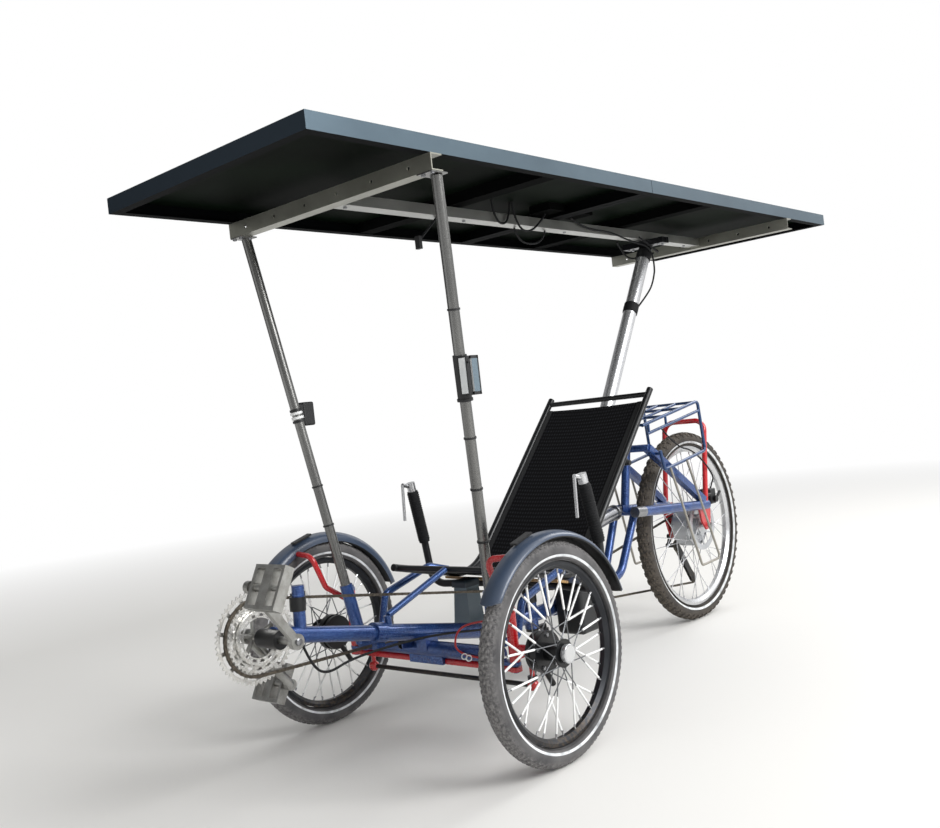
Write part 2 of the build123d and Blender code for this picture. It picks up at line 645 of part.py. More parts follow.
for x, r in sprocketTable:
    motor += ring(x - sprocketT / 2, x + sprocketT / 2, wheelbase, rearAxleZ, r, 12)
rotorX = (49, 51)
rotorR = 88
motor += disc(46, rotorX[1], wheelbase, rearAxleZ, 30) + ring(*rotorX, wheelbase, rearAxleZ, rotorR, 70)
for i in range(6):
    a = math.pi * i / 3
    tip = (wheelbase + 72 * math.sin(a), rearAxleZ + 72 * math.cos(a))
    hub = (wheelbase + 26 * math.sin(a + 0.7), rearAxleZ + 26 * math.cos(a + 0.7))
    motor += rod((50, *hub), (50, *tip), 3) & box(*rotorX, wheelbase - 90, wheelbase + 90, rearAxleZ - 90, rearAxleZ + 90)
pieces["rear_hub_motor"] = motor

# Crankset
crankLean = math.radians(53.6)
crankDY = -crankLength * math.cos(crankLean)
crankDZ = crankLength * math.sin(crankLean)
armX = 86
leftEye = (bracketY + crankDY, bracketZ + crankDZ)
rightEye = (bracketY - crankDY, bracketZ - crankDZ)
cranks = disc(-armX - 5, armX + 5, bracketY, bracketZ, spindleR)
for side, eye in ((1, leftEye), (-1, rightEye)):
    a = (side * (armX - 7), side * (armX + 7))
    arm = rod((side * armX, bracketY, bracketZ), (side * armX, *eye), 11)
    arm += disc(*a, bracketY, bracketZ, 17) + disc(*a, *eye, 13)
    cranks += arm & box(-armX - 7, armX + 7, bracketY - 300, bracketY + 300, bracketZ - 300, bracketZ + 300)
pedalPinR = 6
cranks -= disc(armX - 20, armX + 20, *leftEye, pedalPinR)
cranks -= disc(-armX - 20, -armX + 20, *rightEye, pedalPinR)
for i in range(5):
    a = 2 * math.pi * i / 5
    tip = (bracketY + 66 * math.sin(a), bracketZ + 66 * math.cos(a))
    cranks += rod((-64, bracketY, bracketZ), (-64, *tip), 5)
pieces["cranks"] = cranks

middlePitchR = 85
ringTable = ((-58, 105, 52, 76), (chainX, middlePitchR - chainHalf - 0.4, 42, 62), (-42, 62, 30, 44))


def toothed(x, r, teeth, inner):
    pts = []
    for i in range(teeth):
        for share, radius in ((0.0, r), (0.25, r), (0.45, r - 4), (0.8, r - 4)):
            a = 2 * math.pi * (i + share) / teeth
            pts.append((bracketY + radius * math.cos(a), bracketZ + radius * math.sin(a)))
    return slab(pts, x - 1.2, x + 1.2) - disc(x - 2, x + 2, bracketY, bracketZ, inner)


chainrings = [toothed(*row) for row in ringTable]
carrier = ring(-60, -40, bracketY, bracketZ, 60, 54) + ring(-60, -56, bracketY, bracketZ, 80, 54)
carrier += ring(-51, -47, bracketY, bracketZ, 64, 54)
rings = chainrings[0] + chainrings[1] + chainrings[2] + carrier
rings -= cranks
pieces["chainrings"] = rings

pedalX = 150
pedalW = 96
pedalL = 92
pedalT = 24
pedalTilt = 62
for name, side, eye in (("pedal_left", 1, leftEye), ("pedal_right", -1, rightEye)):
    frame = Box(pedalW, pedalL, pedalT) - Box(pedalW - 16, pedalL - 16, pedalT + 2)
    frame += Box(28, pedalL, pedalT)
    frame = Pos(side * pedalX, *eye) * Rot(pedalTilt, 0, 0) * frame
    frame += disc(side * (armX - 6), side * (pedalX + pedalW / 2 - 4), *eye, pedalPinR - 0.3)
    frame += disc(side * (armX + 7.3), side * (pedalX - 10), *eye, 9)
    pieces[name] = frame

# Chain over the middle ring, the guide rollers, the derailleur's pulleys and a sprocket
upperPulley = (wheelbase - 22, 262)
lowerPulley = (wheelbase + 66, 128)
pulleyR = 17
guideR = 16
idlerR = 30
sprocketPitchR = 40
chainTable = ((bracketY, bracketZ, middlePitchR, 1), (*guideAt, guideR, -1), (*lowerPulley, pulleyR, 1),
              (*upperPulley, pulleyR, -1), (wheelbase, rearAxleZ, sprocketPitchR, 1), (*idlerAt, idlerR, -1))


def chainOutline(offset):
    """Closed face round all the wheels, at a distance outside the chain's middle line."""
    x = chainX - chainW / 2
    wheels = [(y, z, r + turn * offset, turn) for y, z, r, turn in chainTable]
    ends = []
    for (ya, za, ra, ta), (yb, zb, rb, tb) in zip(wheels, wheels[1:] + wheels[:1]):
        gap = math.hypot(yb - ya, zb - za)
        angle = math.atan2(zb - za, yb - ya) - math.asin((tb * rb - ta * ra) / gap)
        ny = -math.sin(angle)
        nz = math.cos(angle)
        ends.append(((x, ya - ta * ra * ny, za - ta * ra * nz), (x, yb - tb * rb * ny, zb - tb * rb * nz)))
    edges = []
    for i, (y, z, r, turn) in enumerate(wheels):
        start = ends[i - 1][1]
        end = ends[i][0]
        first = math.atan2(start[2] - z, start[1] - y)
        last = math.atan2(end[2] - z, end[1] - y)
        middle = first + turn * ((turn * (last - first)) % (2 * math.pi)) / 2
        edges.append(ThreePointArc(start, (x, y + r * math.cos(middle), z + r * math.sin(middle)), end))
        edges.append(Line(*ends[i]))
    return make_face(edges)


chain = extrude(chainOutline(chainHalf), amount=chainW, dir=(1, 0, 0))
chain -= extrude(chainOutline(-chainHalf), amount=chainW, dir=(1, 0, 0))
pieces["chain"] = chain


def roller(at, r, bore):
    wheel = disc(chainX - 2, chainX + 2, *at, r - chainHalf - 0.3)
    wheel += disc(chainX - 4, chainX + 4, *at, bore + 3)
    return wheel - disc(chainX - 8, chainX + 8, *at, bore)


cageFar = chainX - 5.5
cageNear = chainX + 4.5
cageR = 13
guides = [roller(guideAt, guideR, 4.1), roller(idlerAt, idlerR, 5.1)]
along = (vec((0, *lowerPulley)) - vec((0, *upperPulley))).normalized()
across = Vector(0, -along.Z, along.Y) * cageR
cageCorners = [vec((0, *upperPulley)) + across, vec((0, *lowerPulley)) + across, vec((0, *lowerPulley)) - across,
               vec((0, *upperPulley)) - across]
cageOutline = [(corner.Y, corner.Z) for corner in cageCorners]
derailleur = disc(cageFar, cageNear, *upperPulley, 3) + disc(cageFar, cageNear, *lowerPulley, 3)
for x in (cageFar, cageNear - 1.5):
    derailleur += slab(cageOutline, x, x + 1.5)
    derailleur += disc(x, x + 1.5, *upperPulley, cageR) + disc(x, x + 1.5, *lowerPulley, cageR)
for at in (upperPulley, lowerPulley):
    derailleur += disc(chainX - 1.5, chainX + 1.5, *at, pulleyR - chainHalf - 0.3)
hangerY = wheelbase - 4
hangerZ = 292
derailleur += disc(-90, cageFar + 1, *upperPulley, 8)
derailleur += rod((-83, hangerY, hangerZ), (-83, *upperPulley), 7)
derailleur += disc(-92, -dropX - dropT - 0.2, hangerY, hangerZ, 9)
guides.append(derailleur)
changerY = (-372, -338)
changerZ = (418, 449)
for x in (cageFar - 1.5, cageNear):
    changer = box(x, x + 1.5, *changerY, *changerZ)
    guides.append(changer)
guides[-1] += guides[-2] + box(cageFar - 1.5, cageNear + 1.5, *changerY, changerZ[1] - 1.5, changerZ[1])
guides.pop(-2)
clamp = rod((0, postY, changerZ[0]), (0, postY + 2, changerZ[1]), postR + 4)
clamp += rod((-8, postY + 4, 435), (cageNear + 7, changerY[1] - 16, 438), 5)
clamp += box(cageNear + 1, cageNear + 10, changerY[0] + 9, changerY[1] - 7, 430, 446)
clamp -= rod((0, postY, tubeZ(postY)), (0, postY + 6, postTopZ), postR + 0.1)
guides[-1] += clamp
pieces["chain_guides"] = Compound(guides)

# Brake caliper, lamp, wiring and cables
caliperY = (wheelbase + 22, wheelbase + 62)
caliperZ = (402, 456)
caliper = fillet(box(38, 84, *caliperY, *caliperZ).edges(), 4) - disc(44, 56, wheelbase, rearAxleZ, rotorR + 6)
caliper += rod((archX, archFoot[0] + 6, 437), (archX, caliperY[0] + 4, 437), 6)
caliper += rod((88, caliperY[1] - 12, 418), (88, caliperY[1] + 22, 440), 5) + disc(70, 93, caliperY[1] - 12, 418, 11)
caliper -= arch
pieces["rear_caliper"] = caliper
sleeveLow = 850
sleeveHigh = 948
mastSleeve = rod(lerp(mastFoot, mastHead, sleeveLow), lerp(mastFoot, mastHead, sleeveHigh), mastR + 3.5)
mastSleeve += rod(lerp(mastFoot, mastHead, sleeveLow - 6), lerp(mastFoot, mastHead, sleeveLow), mastR + 5.5)
mastLampBody = box(321, 346, -125, -92, 855, 943)
mastSleeve += fillet(mastLampBody.edges(), 4) + box(306, 324, -116, -100, 870, 930)
mastSleeve -= rod(lerp(mastFoot, mastHead, 800), lerp(mastFoot, mastHead, 1000), mastR + 0.1)
pieces["mast_lamp"] = mastSleeve
mastLens = box(324, 343, -131, -125.1, 859, 939)
mastLens += box(346.1, 351, -118, -99, 862, 936)
pieces["mast_lamp_lens"] = mastLens
mastBox = fillet(box(-334, -301, -74, -36, 832, 896).edges(), 5)
mastBox += box(-312, -303, -100, -72, 838, 890)
for z in (842, 872):
    low = lerp(mastFoot, mastHead, z)
    high = lerp(mastFoot, mastHead, z + 7)
    mastBox += rod((-low[0], *low[1:]), (-high[0], *high[1:]), mastR + 3)
low = lerp(mastFoot, mastHead, 800)
high = lerp(mastFoot, mastHead, 1000)
mastBox -= rod((-low[0], *low[1:]), (-high[0], *high[1:]), mastR + 0.1)
pieces["mast_box"] = mastBox

wireX = 30
wireR = 3
glassLowZ = roofZ + roofDepth - laminateDrop - laminateT
wiring = [box(8, 84, 618, 694, glassLowZ - 22, glassLowZ - 0.2), box(8, 84, 762, 842, glassLowZ - 22, glassLowZ - 0.2)]
loopPath = [(wireX, 414, glassLowZ - 1.5), (wireX, 420, glassLowZ - 66), (wireX, 485, glassLowZ - 66),
            (wireX, 497, glassLowZ - 1.5)]
wiring.append(cable(loopPath, wireR))
sagPath = [(wireX + 8, 497, glassLowZ - 1.5), (wireX + 8, 505, glassLowZ - 78), (wireX + 8, 590, glassLowZ - 86),
           (wireX + 8, 655, glassLowZ - 23.5)]
wiring.append(cable(sagPath, wireR))
mastWirePath = [(wireX, 800, glassLowZ - 23.5), (wireX, 860, glassLowZ - 52), (wireX, 1020, glassLowZ - 52),
                (wireX, 1136, glassLowZ - 76), (wireX, 1290, glassLowZ - 90), (wireX, 1275, 1240)]
wiring.append(cable(mastWirePath, wireR))
wiring.append(cable([(0, 206, spineZ - 12.6), (0, 190, spineZ - 26), (0, 134, spineZ - 74)], wireR))
pieces["roof_wiring"] = Compound(wiring)

redPath = [(233.5, -32.5, 323), (174, -34, 316), (128, -34, 288), (121, -34, 236), (190, -27.8, 232)]
redCable = cable(redPath, 2.6)
redCable -= crossBeam
pieces["red_cable"] = redCable
boomLoop = [(16.6, -412, 353.6), (30, -402, 300), (30, -362, 266), (30, -283, 284), (30, -93, 279), (30, 60, 262),
            (30, 190, 238)]
brakePath = [(96, rackRearY - 237, 698), (96, rackRearY - 154, 628), (96, rackRearY - 37, 606),
             (98, rackRearY + 85, 505), (80, rackRearY + 93, 474), (74, rackRearY + 93, caliperZ[1] + 1.3)]
pieces["black_cables"] = Compound([cable(boomLoop, 3), cable(brakePath, 2.6)])

# Write every piece with the origin at the centre of the whole vehicle's footprint
whole = Compound(list(pieces.values())).bounding_box()
shift = -(whole.min.Y + whole.max.Y) / 2
print("shift", round(shift, 3), "x", round(whole.min.X, 2), round(whole.max.X, 2), "z", round(whole.min.Z, 2))
os.makedirs("parts", exist_ok=True)
for node, shape in pieces.items():
    export_step(Pos(0, shift, 0) * shape, "parts/" + node + ".step")
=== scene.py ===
import math
import bmesh
import bpy
from mathutils import Matrix, Vector


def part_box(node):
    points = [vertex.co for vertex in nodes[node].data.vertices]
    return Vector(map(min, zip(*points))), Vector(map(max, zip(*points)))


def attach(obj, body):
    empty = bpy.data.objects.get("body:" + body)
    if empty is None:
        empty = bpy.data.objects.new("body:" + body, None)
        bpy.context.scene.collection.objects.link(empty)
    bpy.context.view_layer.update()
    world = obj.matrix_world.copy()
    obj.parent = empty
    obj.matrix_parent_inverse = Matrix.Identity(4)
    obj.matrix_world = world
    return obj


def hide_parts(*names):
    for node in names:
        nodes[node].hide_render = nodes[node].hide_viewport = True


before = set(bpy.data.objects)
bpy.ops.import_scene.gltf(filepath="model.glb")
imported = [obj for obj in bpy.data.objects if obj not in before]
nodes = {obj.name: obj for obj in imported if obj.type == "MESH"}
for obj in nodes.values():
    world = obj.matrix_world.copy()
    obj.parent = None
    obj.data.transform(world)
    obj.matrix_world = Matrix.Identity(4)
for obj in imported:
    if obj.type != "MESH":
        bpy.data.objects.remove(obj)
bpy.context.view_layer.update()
sides = {"left": 1, "right": -1}


def boxCentre(node):
    low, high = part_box(node)
    return (low + high) / 2


frontAxle = {side: boxCentre("front_tyre_" + side) for side in sides}
rearAxle = boxCentre("rear_tyre")
crankAxis = (-478, 374)  # its Y and Z in millimetres
upward, outward = Vector((0, 0, 1)), Vector((1, 0, 0))


def at(x, y, z):  # millimetres from the front axle line and the ground, to metres
    return Vector((x / 1000, frontAxle["left"].y + y / 1000, z / 1000))


# Materials: colours are sRGB hex, pattern sizes are in millimetres
def linear(code):
    parts = [int(code[i:i + 2], 16) / 255 for i in (1, 3, 5)]
    return [p / 12.92 if p <= 0.04045 else ((p + 0.055) / 1.055) ** 2.4 for p in parts] + [1.0]


def adder(tree):  # a shader node's kind goes without its prefix, and what comes back is its outputs
    def add(kind, inputs=None, **settings):
        node = tree.nodes.new(kind if "Node" in kind else "ShaderNode" + kind)
        for key, value in settings.items():
            setattr(node, key, value)
        for key, value in (inputs or {}).items():
            if isinstance(value, bpy.types.NodeSocket):
                tree.links.new(value, node.inputs[key])
            else:
                node.inputs[key].default_value = linear(value) if str(value).startswith("#") else value
        return node.outputs
    return add


shaderSockets = {"roughness": "Roughness", "metallic": "Metallic", "coat": "Coat Weight",
                 "coatRoughness": "Coat Roughness", "ior": "IOR", "specular": "Specular IOR Level"}


def startMaterial(name, values):
    material = bpy.data.materials.new(name)
    material.use_nodes = True
    add = adder(material.node_tree)
    shader = material.node_tree.nodes["Principled BSDF"]
    shader.inputs["Base Color"].default_value = linear(values["colour"])
    for key, socket in shaderSockets.items():
        if key in values:
            shader.inputs[socket].default_value = values[key]
    return material, add, shader, add("TexCoord")["Object"]


def feed(node, links):
    for key, socket in links.items():
        node.id_data.links.new(socket, node.inputs[key])


# Each mask lays its shade over what is under it
def layColours(add, shader, colour, layers):
    for mask, shade in layers:
        colour = add("Mix", {0: mask, 6: colour, 7: shade}, data_type="RGBA")[2]
    feed(shader, {"Base Color": colour})


# One finish for paints, metals and plastics: two shades, a fine grain, and dust that gathers low down
finishDefaults = {"patch": 60, "fleckSize": 1.2, "dustSize": 9, "dustTop": 0.35, "grain": 0.8, "stretch": (1, 1, 1),
                  "spread": 0.05, "bump": 0.08, "depth": 0.05}


def surface(name, given):
    values = {**finishDefaults, **given}
    material, add, shader, place = startMaterial(name, values)
    axes = add("SeparateXYZ", {0: place})
    patches = add("TexNoise", {"Vector": place, "Scale": 1000 / values["patch"], "Detail": 4})[0]
    layers = [(add("MapRange", {0: patches, 1: 0.35, 2: 0.65})[0], values["second"])]
    if "fleck" in values:  # metallic flakes, drawn coarser than real ones so that they show
        flakes = add("TexNoise", {"Vector": place, "Scale": 1000 / values["fleckSize"], "Detail": 1})[0]
        layers.append((add("MapRange", {0: flakes, 1: 0.56, 2: 0.7})[0], values["fleck"]))
    if "dust" in values:
        low = add("MapRange", {0: axes["Z"], 1: values["dustTop"], 2: 0.0})[0]
        dirt = add("TexNoise", {"Vector": place, "Scale": 1000 / values["dustSize"], "Detail": 6})[0]
        dirt = add("MapRange", {0: dirt, 1: 0.42, 2: 0.72})[0]
        layers.append((add("Math", {0: low, 1: dirt}, operation="MULTIPLY")[0], values["dust"]))
    for key in ("ends", "facing"):  # another colour on the faces that look along an axis: painted shade on the roof profile's front ends and underside, a smoked side on the lamp lens
        if key in values:
            axis, way, shade = values[key]
            along = add("SeparateXYZ", {0: add("NewGeometry")["True Normal"]})[axis]
            faced = add("MapRange", {0: along, 1: 0.5 * way, 2: 0.8 * way})[0]
            layers.append((faced, shade))
    if "paintedShadeCore" in values:  # another colour inside one box: painted shade on the faces inside the roof profile
        low, high, shade = values["paintedShadeCore"]
        inside = 1.0
        for axis, first, last in zip("XYZ", low, high):
            off = add("Math", {0: axes[axis], 1: (first + last) / 2}, operation="SUBTRACT")[0]
            reach = add("Math", {0: off}, operation="ABSOLUTE")[0]
            half = (last - first) / 2
            edge = add("MapRange", {0: reach, 1: half, 2: half - 0.0004})[0]
            inside = add("Math", {0: edge, 1: inside}, operation="MULTIPLY")[0]
        layers.append((inside, shade))
    if "above" in values:  # another shade over one height
        level, shade = values["above"]
        layers.append((add("MapRange", {0: axes["Z"], 1: (level - 0.5) / 1000, 2: (level + 0.5) / 1000})[0], shade))
    layColours(add, shader, values["colour"], layers)
    spot = add("Mapping", {"Vector": place, "Scale": values["stretch"]})[0]
    grain = add("TexNoise", {"Vector": spot, "Scale": 1000 / values["grain"], "Detail": 2})[0]
    middle, spread = values["roughness"], values["spread"]
    roughness = add("MapRange", {0: grain, 1: 0.3, 2: 0.7, 3: max(0.03, middle - spread), 4: middle + spread})[0]
    if "matt" in values:  # the faces in the last of those colours are matt and not metallic, so the roof profile's painted shade underneath takes no reflection
        roughness = add("Mix", {"Factor": faced, "A": roughness, "B": values["matt"]})[0]
        feed(shader, {"Metallic": add("MapRange", {0: faced, 3: values["metallic"], 4: 0.0})[0]})
    bump = add("Bump", {"Height": grain, "Strength": values["bump"], "Distance": values["depth"] / 1000})[0]
    feed(shader, {"Roughness": roughness, "Normal": bump})
    return material


mud = "#6d5c47"
finishes = {  # "on" lists the nodes that get each
    # powder coat over steel, metallic dark blue: a deep gloss with flakes
    "frameBlue": dict(colour="#15306a", second="#1b3c7c", fleck="#6c98d8", roughness=0.28, coat=0.5,
                      coatRoughness=0.12, metallic=0.5, dust=mud, dustTop=0.3,
                      on="main_frame boom cross_beam swingarm"),
    # the same coat on the thin seat stays, a shade lighter
    "stayBlue": dict(colour="#17336a", second="#1e4280", fleck="#6f9bd6", roughness=0.28, coat=0.5,
                     coatRoughness=0.12, metallic=0.5, on="seat_stays"),
    # powder coat, plain red: slightly orange-peeled gloss
    "partRed": dict(colour="#c61e25", second="#b3181e", roughness=0.28, coat=0.6, coatRoughness=0.1, grain=3.0,
                    bump=0.15, dust=mud, dustTop=0.22, on="lower_arms rear_arch knuckle_left knuckle_right"),
    # powder coat over thin steel tube: a flatter, greyer blue
    "rackBlue": dict(colour="#1a3862", second="#214372", roughness=0.32, coat=0.4, coatRoughness=0.16, metallic=0.3,
                     on="rack"),
    # anodised aluminium tube, smoke grey: satin with long soft highlights
    "mastGrey": dict(colour="#7b7b79", second="#70706f", roughness=0.28, metallic=0.85, grain=1.5,
                     stretch=(1, 1, 0.05), spread=0.04, patch=200, bump=0.03, on="front_masts"),
    # polished stainless tube, bright with a soft sheen, its clamp head painted black
    "mastSteel": dict(colour="#dddee0", second="#d0d1d4", roughness=0.28, metallic=0.75, grain=1.2,
                      stretch=(1, 1, 0.05), spread=0.04, patch=200, bump=0.03, above=(1306, "#1c1d20"),
                      on="rear_mast"),
    # anodised aluminium profile, dark slate blue: satin, with painted shade on its front end faces, a near-black
    # painted shade on its matt underside and painted shade on the faces inside the profile
    "roofSlate": dict(colour="#55646e", second="#4d5b65", roughness=0.36, metallic=0.5, grain=0.7,
                      stretch=(1, 0.04, 1), patch=300, bump=0.03, specular=0.15, matt=0.95, ends=("Y", -1, "#25303a"),
                      facing=("Z", -1, "#050708"), paintedShadeCore=(at(-369.2, -538, 1300), at(369.2, 1986, 1419.4), "#07090b"),
                      on="module_frames"),
    # black anodised aluminium under the roof: dead matt
    "barBlack": dict(colour="#050606", second="#090a0a", roughness=0.9, specular=0.03, on="roof_bars"),
    # mill-finish aluminium profile: pale, with long faint stains
    "railMill": dict(colour="#a3a399", second="#8f8f85", roughness=0.36, metallic=0.85, grain=0.8,
                     stretch=(0.05, 1, 1), spread=0.06, bump=0.05, patch=160, on="cross_rails"),
    # the same with its stains along the spine, a little brighter
    "spineMill": dict(colour="#b6b7b3", second="#a2a39f", roughness=0.34, metallic=0.85, grain=0.8,
                      stretch=(1, 0.05, 1), spread=0.06, bump=0.05, patch=160, on="spine_rail"),
    # polished aluminium: bright, with soft-edged highlights
    "brightAlloy": dict(colour="#d0d1d3", second="#c3c4c6", roughness=0.26, metallic=0.9, grain=0.6, patch=120,
                        bump=0.03, on="rear_rim brake_levers"),
    # machined aluminium rings, bright with a little oily dirt
    "ringAlloy": dict(colour="#ececea", second="#d2d0cb", roughness=0.27, metallic=0.9, patch=9, spread=0.06,
                      bump=0.05, on="chainrings"),
    # cast and machined aluminium that has seen rain: grey, uneven
    "wornAlloy": dict(colour="#a7a7a4", second="#8f8e8a", roughness=0.34, metallic=0.85, patch=22, spread=0.08,
                      bump=0.05, on="cranks pedal_left pedal_right"),
    # black anodised aluminium: satin, dusty low down
    "blackAlloy": dict(colour="#131416", second="#1a1b1d", roughness=0.34, metallic=0.2, dust=mud, dustTop=0.2,
                       on="bottom_bracket seat_frame handlebar drag_link track_rod "
                          "brake_plate_left brake_plate_right chain_guides rear_caliper"),
    # black anodised rim, dulled by road dirt
    "rimBlack": dict(colour="#25272b", second="#303236", roughness=0.36, metallic=0.6, dust=mud, dustTop=0.12,
                     on="front_rim_left front_rim_right"),
    # zinc-plated steel: grey, with clear highlights
    "springSteel": dict(colour="#a3a4a7", second="#8c8d90", roughness=0.28, metallic=1.0, on="rear_shock"),
    # stainless wire: thin bright lines
    "spokeSteel": dict(colour="#dfe0e2", second="#d2d3d5", roughness=0.24, metallic=0.7, on="rear_spokes"),
    # oiled steel chain, brown-grey
    "chainSteel": dict(colour="#6d665c", second="#4c4740", roughness=0.38, metallic=0.85, patch=8, on="chain"),
    # injection-moulded nylon: black satin with a fine pebbled grain
    "mouldedBlack": dict(colour="#131416", second="#191a1c", roughness=0.45, grain=0.5, bump=0.2,
                         on="controller_box mast_lamp mast_box"),
    # polyurethane fender, slate blue paint in a satin gloss
    "fenderBlue": dict(colour="#414e63", second="#394659", roughness=0.34, coat=0.35, coatRoughness=0.25, patch=120,
                       bump=0.03, dust=mud, dustTop=0.42, on="fender_left fender_right"),
    # rubber sheath and grips: dull black, faintly grainy
    "softRubber": dict(colour="#121315", second="#1a1b1d", roughness=0.7, specular=0.3, grain=0.9, bump=0.3,
                       on="grips black_cables roof_wiring"),
    # powder-coated steel box, cool grey
    "boxGrey": dict(colour="#7d8d97", second="#70808a", roughness=0.48, grain=1.2, bump=0.1, patch=90,
                    above=(337, "#39454f"), on="battery_box"),
    # clear ribbed lens over a white reflector, smoked on its side face
    "lensClear": dict(colour="#f3f5f5", second="#e6eaeb", roughness=0.14, coat=0.8, coatRoughness=0.05, grain=4.0,
                      stretch=(1, 1, 0.1), bump=0.3, facing=("X", 1, "#61727d"), on="mast_lamp_lens"),
    # cast aluminium motor shell, satin grey
    "motorAlloy": dict(colour="#c4c6c9", second="#b3b5b9", roughness=0.34, metallic=0.75, patch=90, bump=0.03,
                       on="rear_hub_motor"),
    # moulded nylon, white: plain satin
    "tieWhite": dict(colour="#eceded", second="#e0e2e2", roughness=0.4),
    # PVC sheath, red: smooth, softly glossy
    "cableRed": dict(colour="#b3151a", second="#9d1216", roughness=0.35, coat=0.3, on="red_cable"),
    # near-black polymer back of the laminate, tinted green all over in large patches as a painted reflection of green
    # surroundings: satin, nearly no gloss
    "backSheet": dict(colour="#0c150d", second="#060a07", roughness=0.6, specular=0.02, patch=220),
    # galvanised wire: dull silver
    "wireGrey": dict(colour="#a39f96", second="#8f8b83", roughness=0.36, metallic=0.5, on="rack_hoops"),
}
paints = {name: surface(name, values) for name, values in finishes.items()}


def axleDistance(add, place, centre):
    local = add("VectorMath", {0: place, 1: tuple(centre)}, operation="SUBTRACT")[0]
    flat = add("VectorMath", {0: local, 1: (0, 1, 1)}, operation="MULTIPLY")[0]
    return add("VectorMath", {0: flat}, operation="LENGTH")["Value"]


def tyreMaterial(name, values):  # vulcanised rubber, matt, grey with road dust on the tread, with a taped ring
    material, add, shader, place = startMaterial(name, values)
    radius = axleDistance(add, place, values["centre"])
    crumbs, film, worn, grit = (add("TexNoise", {"Vector": place, "Scale": 1000 / size, "Detail": detail})[0]
                                for size, detail in ((7, 6), (60, 5), (26, 5), (1.4, 4)))
    crumbs = add("MapRange", {0: crumbs, 1: 0.36, 2: 0.62})[0]
    nearTread = add("MapRange", {0: radius, 1: values["dustFrom"] / 1000, 2: values["outer"] / 1000})[0]
    dusty = add("Math", {0: crumbs, 1: nearTread}, operation="MULTIPLY")[0]
    film = add("MapRange", {0: film, 1: 0.2, 2: 1.4})[0]
    worn = add("MapRange", {0: worn, 1: 0.45, 2: 0.75})[0]
    tape = add("Mix", {0: worn, 6: values["tape"], 7: values["tapeWorn"]}, data_type="RGBA")[2]
    away = add("Math", {0: radius, 1: values["stripe"] / 1000}, operation="SUBTRACT")[0]
    gap = add("Math", {0: away}, operation="ABSOLUTE")[0]
    width = values["stripeWidth"] / 2000
    onStripe = add("MapRange", {0: gap, 1: width + 0.0004, 2: width - 0.0004})[0]
    layColours(add, shader, values["colour"], [(film, values["dust"]), (dusty, values["dust"]), (onStripe, tape)])
    feed(shader, {"Normal": add("Bump", {"Height": grit, "Strength": 0.35, "Distance": 0.0003})[0]})
    return material


def offMiddle(add, value, step):  # how far a place is from the middle of its cell, in cells
    cells = add("Math", {0: value, 1: step / 1000}, operation="DIVIDE")[0]
    share = add("Math", {0: cells}, operation="FRACT")[0]
    off = add("Math", {0: share, 1: 0.5}, operation="SUBTRACT")[0]
    return add("Math", {0: off}, operation="ABSOLUTE")[0]


def solarTop(name, values):  # glass over blue-black cells with silver busbars, on a dark back sheet
    material, add, shader, place = startMaterial(name, values)
    axes = add("SeparateXYZ", {0: place})
    across, along = (add("MapRange", {0: offMiddle(add, axes[axis], values["cell"]), 1: 0.484, 2: 0.49})[0]
                     for axis in "XY")
    gaps = add("Math", {0: across, 1: along}, operation="MAXIMUM")[0]
    onBar = add("MapRange", {0: offMiddle(add, axes["X"], values["bar"]), 1: 0.022, 2: 0.016})[0]
    clouds = add("TexNoise", {"Vector": place, "Scale": 1000 / values["cloud"], "Detail": 2})[0]
    clouds = add("MapRange", {0: clouds, 1: 0.3, 2: 0.7})[0]
    # faces that look down get the underside colour: near-black with a green tint that is a painted reflection of
    # green surroundings
    rise = add("SeparateXYZ", {0: add("NewGeometry")["Normal"]})["Z"]
    under = add("MapRange", {0: rise, 1: 0.1, 2: -0.1})[0]
    layColours(add, shader, values["colour"], [(clouds, values["second"]), (onBar, values["silver"]),
                                               (gaps, values["back"]), (under, values["underside"])])
    return material


def weave(name, values):  # woven polyester mesh: matt threads with open gaps between them
    material, add, shader, place = startMaterial(name, values)
    warp, weft = (add("TexWave", {"Vector": place, "Scale": 1000 / values["thread"] / math.tau, "Distortion": 0.6},
                      bands_direction=direction)["Fac"] for direction in "XY")
    both = add("Math", {0: warp, 1: weft}, operation="MULTIPLY")[0]
    layColours(add, shader, values["colour"], [(both, values["second"])])
    feed(shader, {"Normal": add("Bump", {"Height": both, "Strength": 0.6, "Distance": 0.0004})[0]})
    return material


def grainWood(name, values):  # varnished ash slat: pale, with long dark pores
    material, add, shader, place = startMaterial(name, values)
    spot = add("Mapping", {"Vector": place, "Scale": (0.05, 1, 1)})[0]
    lines = add("TexNoise", {"Vector": spot, "Scale": 1000 / values["pore"], "Detail": 5})[0]
    lines = add("MapRange", {0: lines, 1: 0.4, 2: 0.62})[0]
    layColours(add, shader, values["colour"], [(lines, values["second"])])
    feed(shader, {"Normal": add("Bump", {"Height": lines, "Strength": 0.1, "Distance": 0.0001})[0]})
    return material


def sleeveMaterial(name, values):  # steel spokes with white reflective sleeves over their middle
    material, add, shader, place = startMaterial(name, values)
    radius = axleDistance(add, place, values["centre"])
    low, high = values["covered"]
    past = add("MapRange", {0: radius, 1: (low - 0.5) / 1000, 2: (low + 0.5) / 1000})[0]
    short = add("MapRange", {0: radius, 1: (high + 0.5) / 1000, 2: (high - 0.5) / 1000})[0]
    sleeved = add("Math", {0: past, 1: short}, operation="MULTIPLY")[0]
    layColours(add, shader, values["colour"], [(sleeved, values["sleeve"])])
    feed(shader, {"Metallic": add("Math", {0: 1.0, 1: sleeved}, operation="SUBTRACT")[0]})
    return material


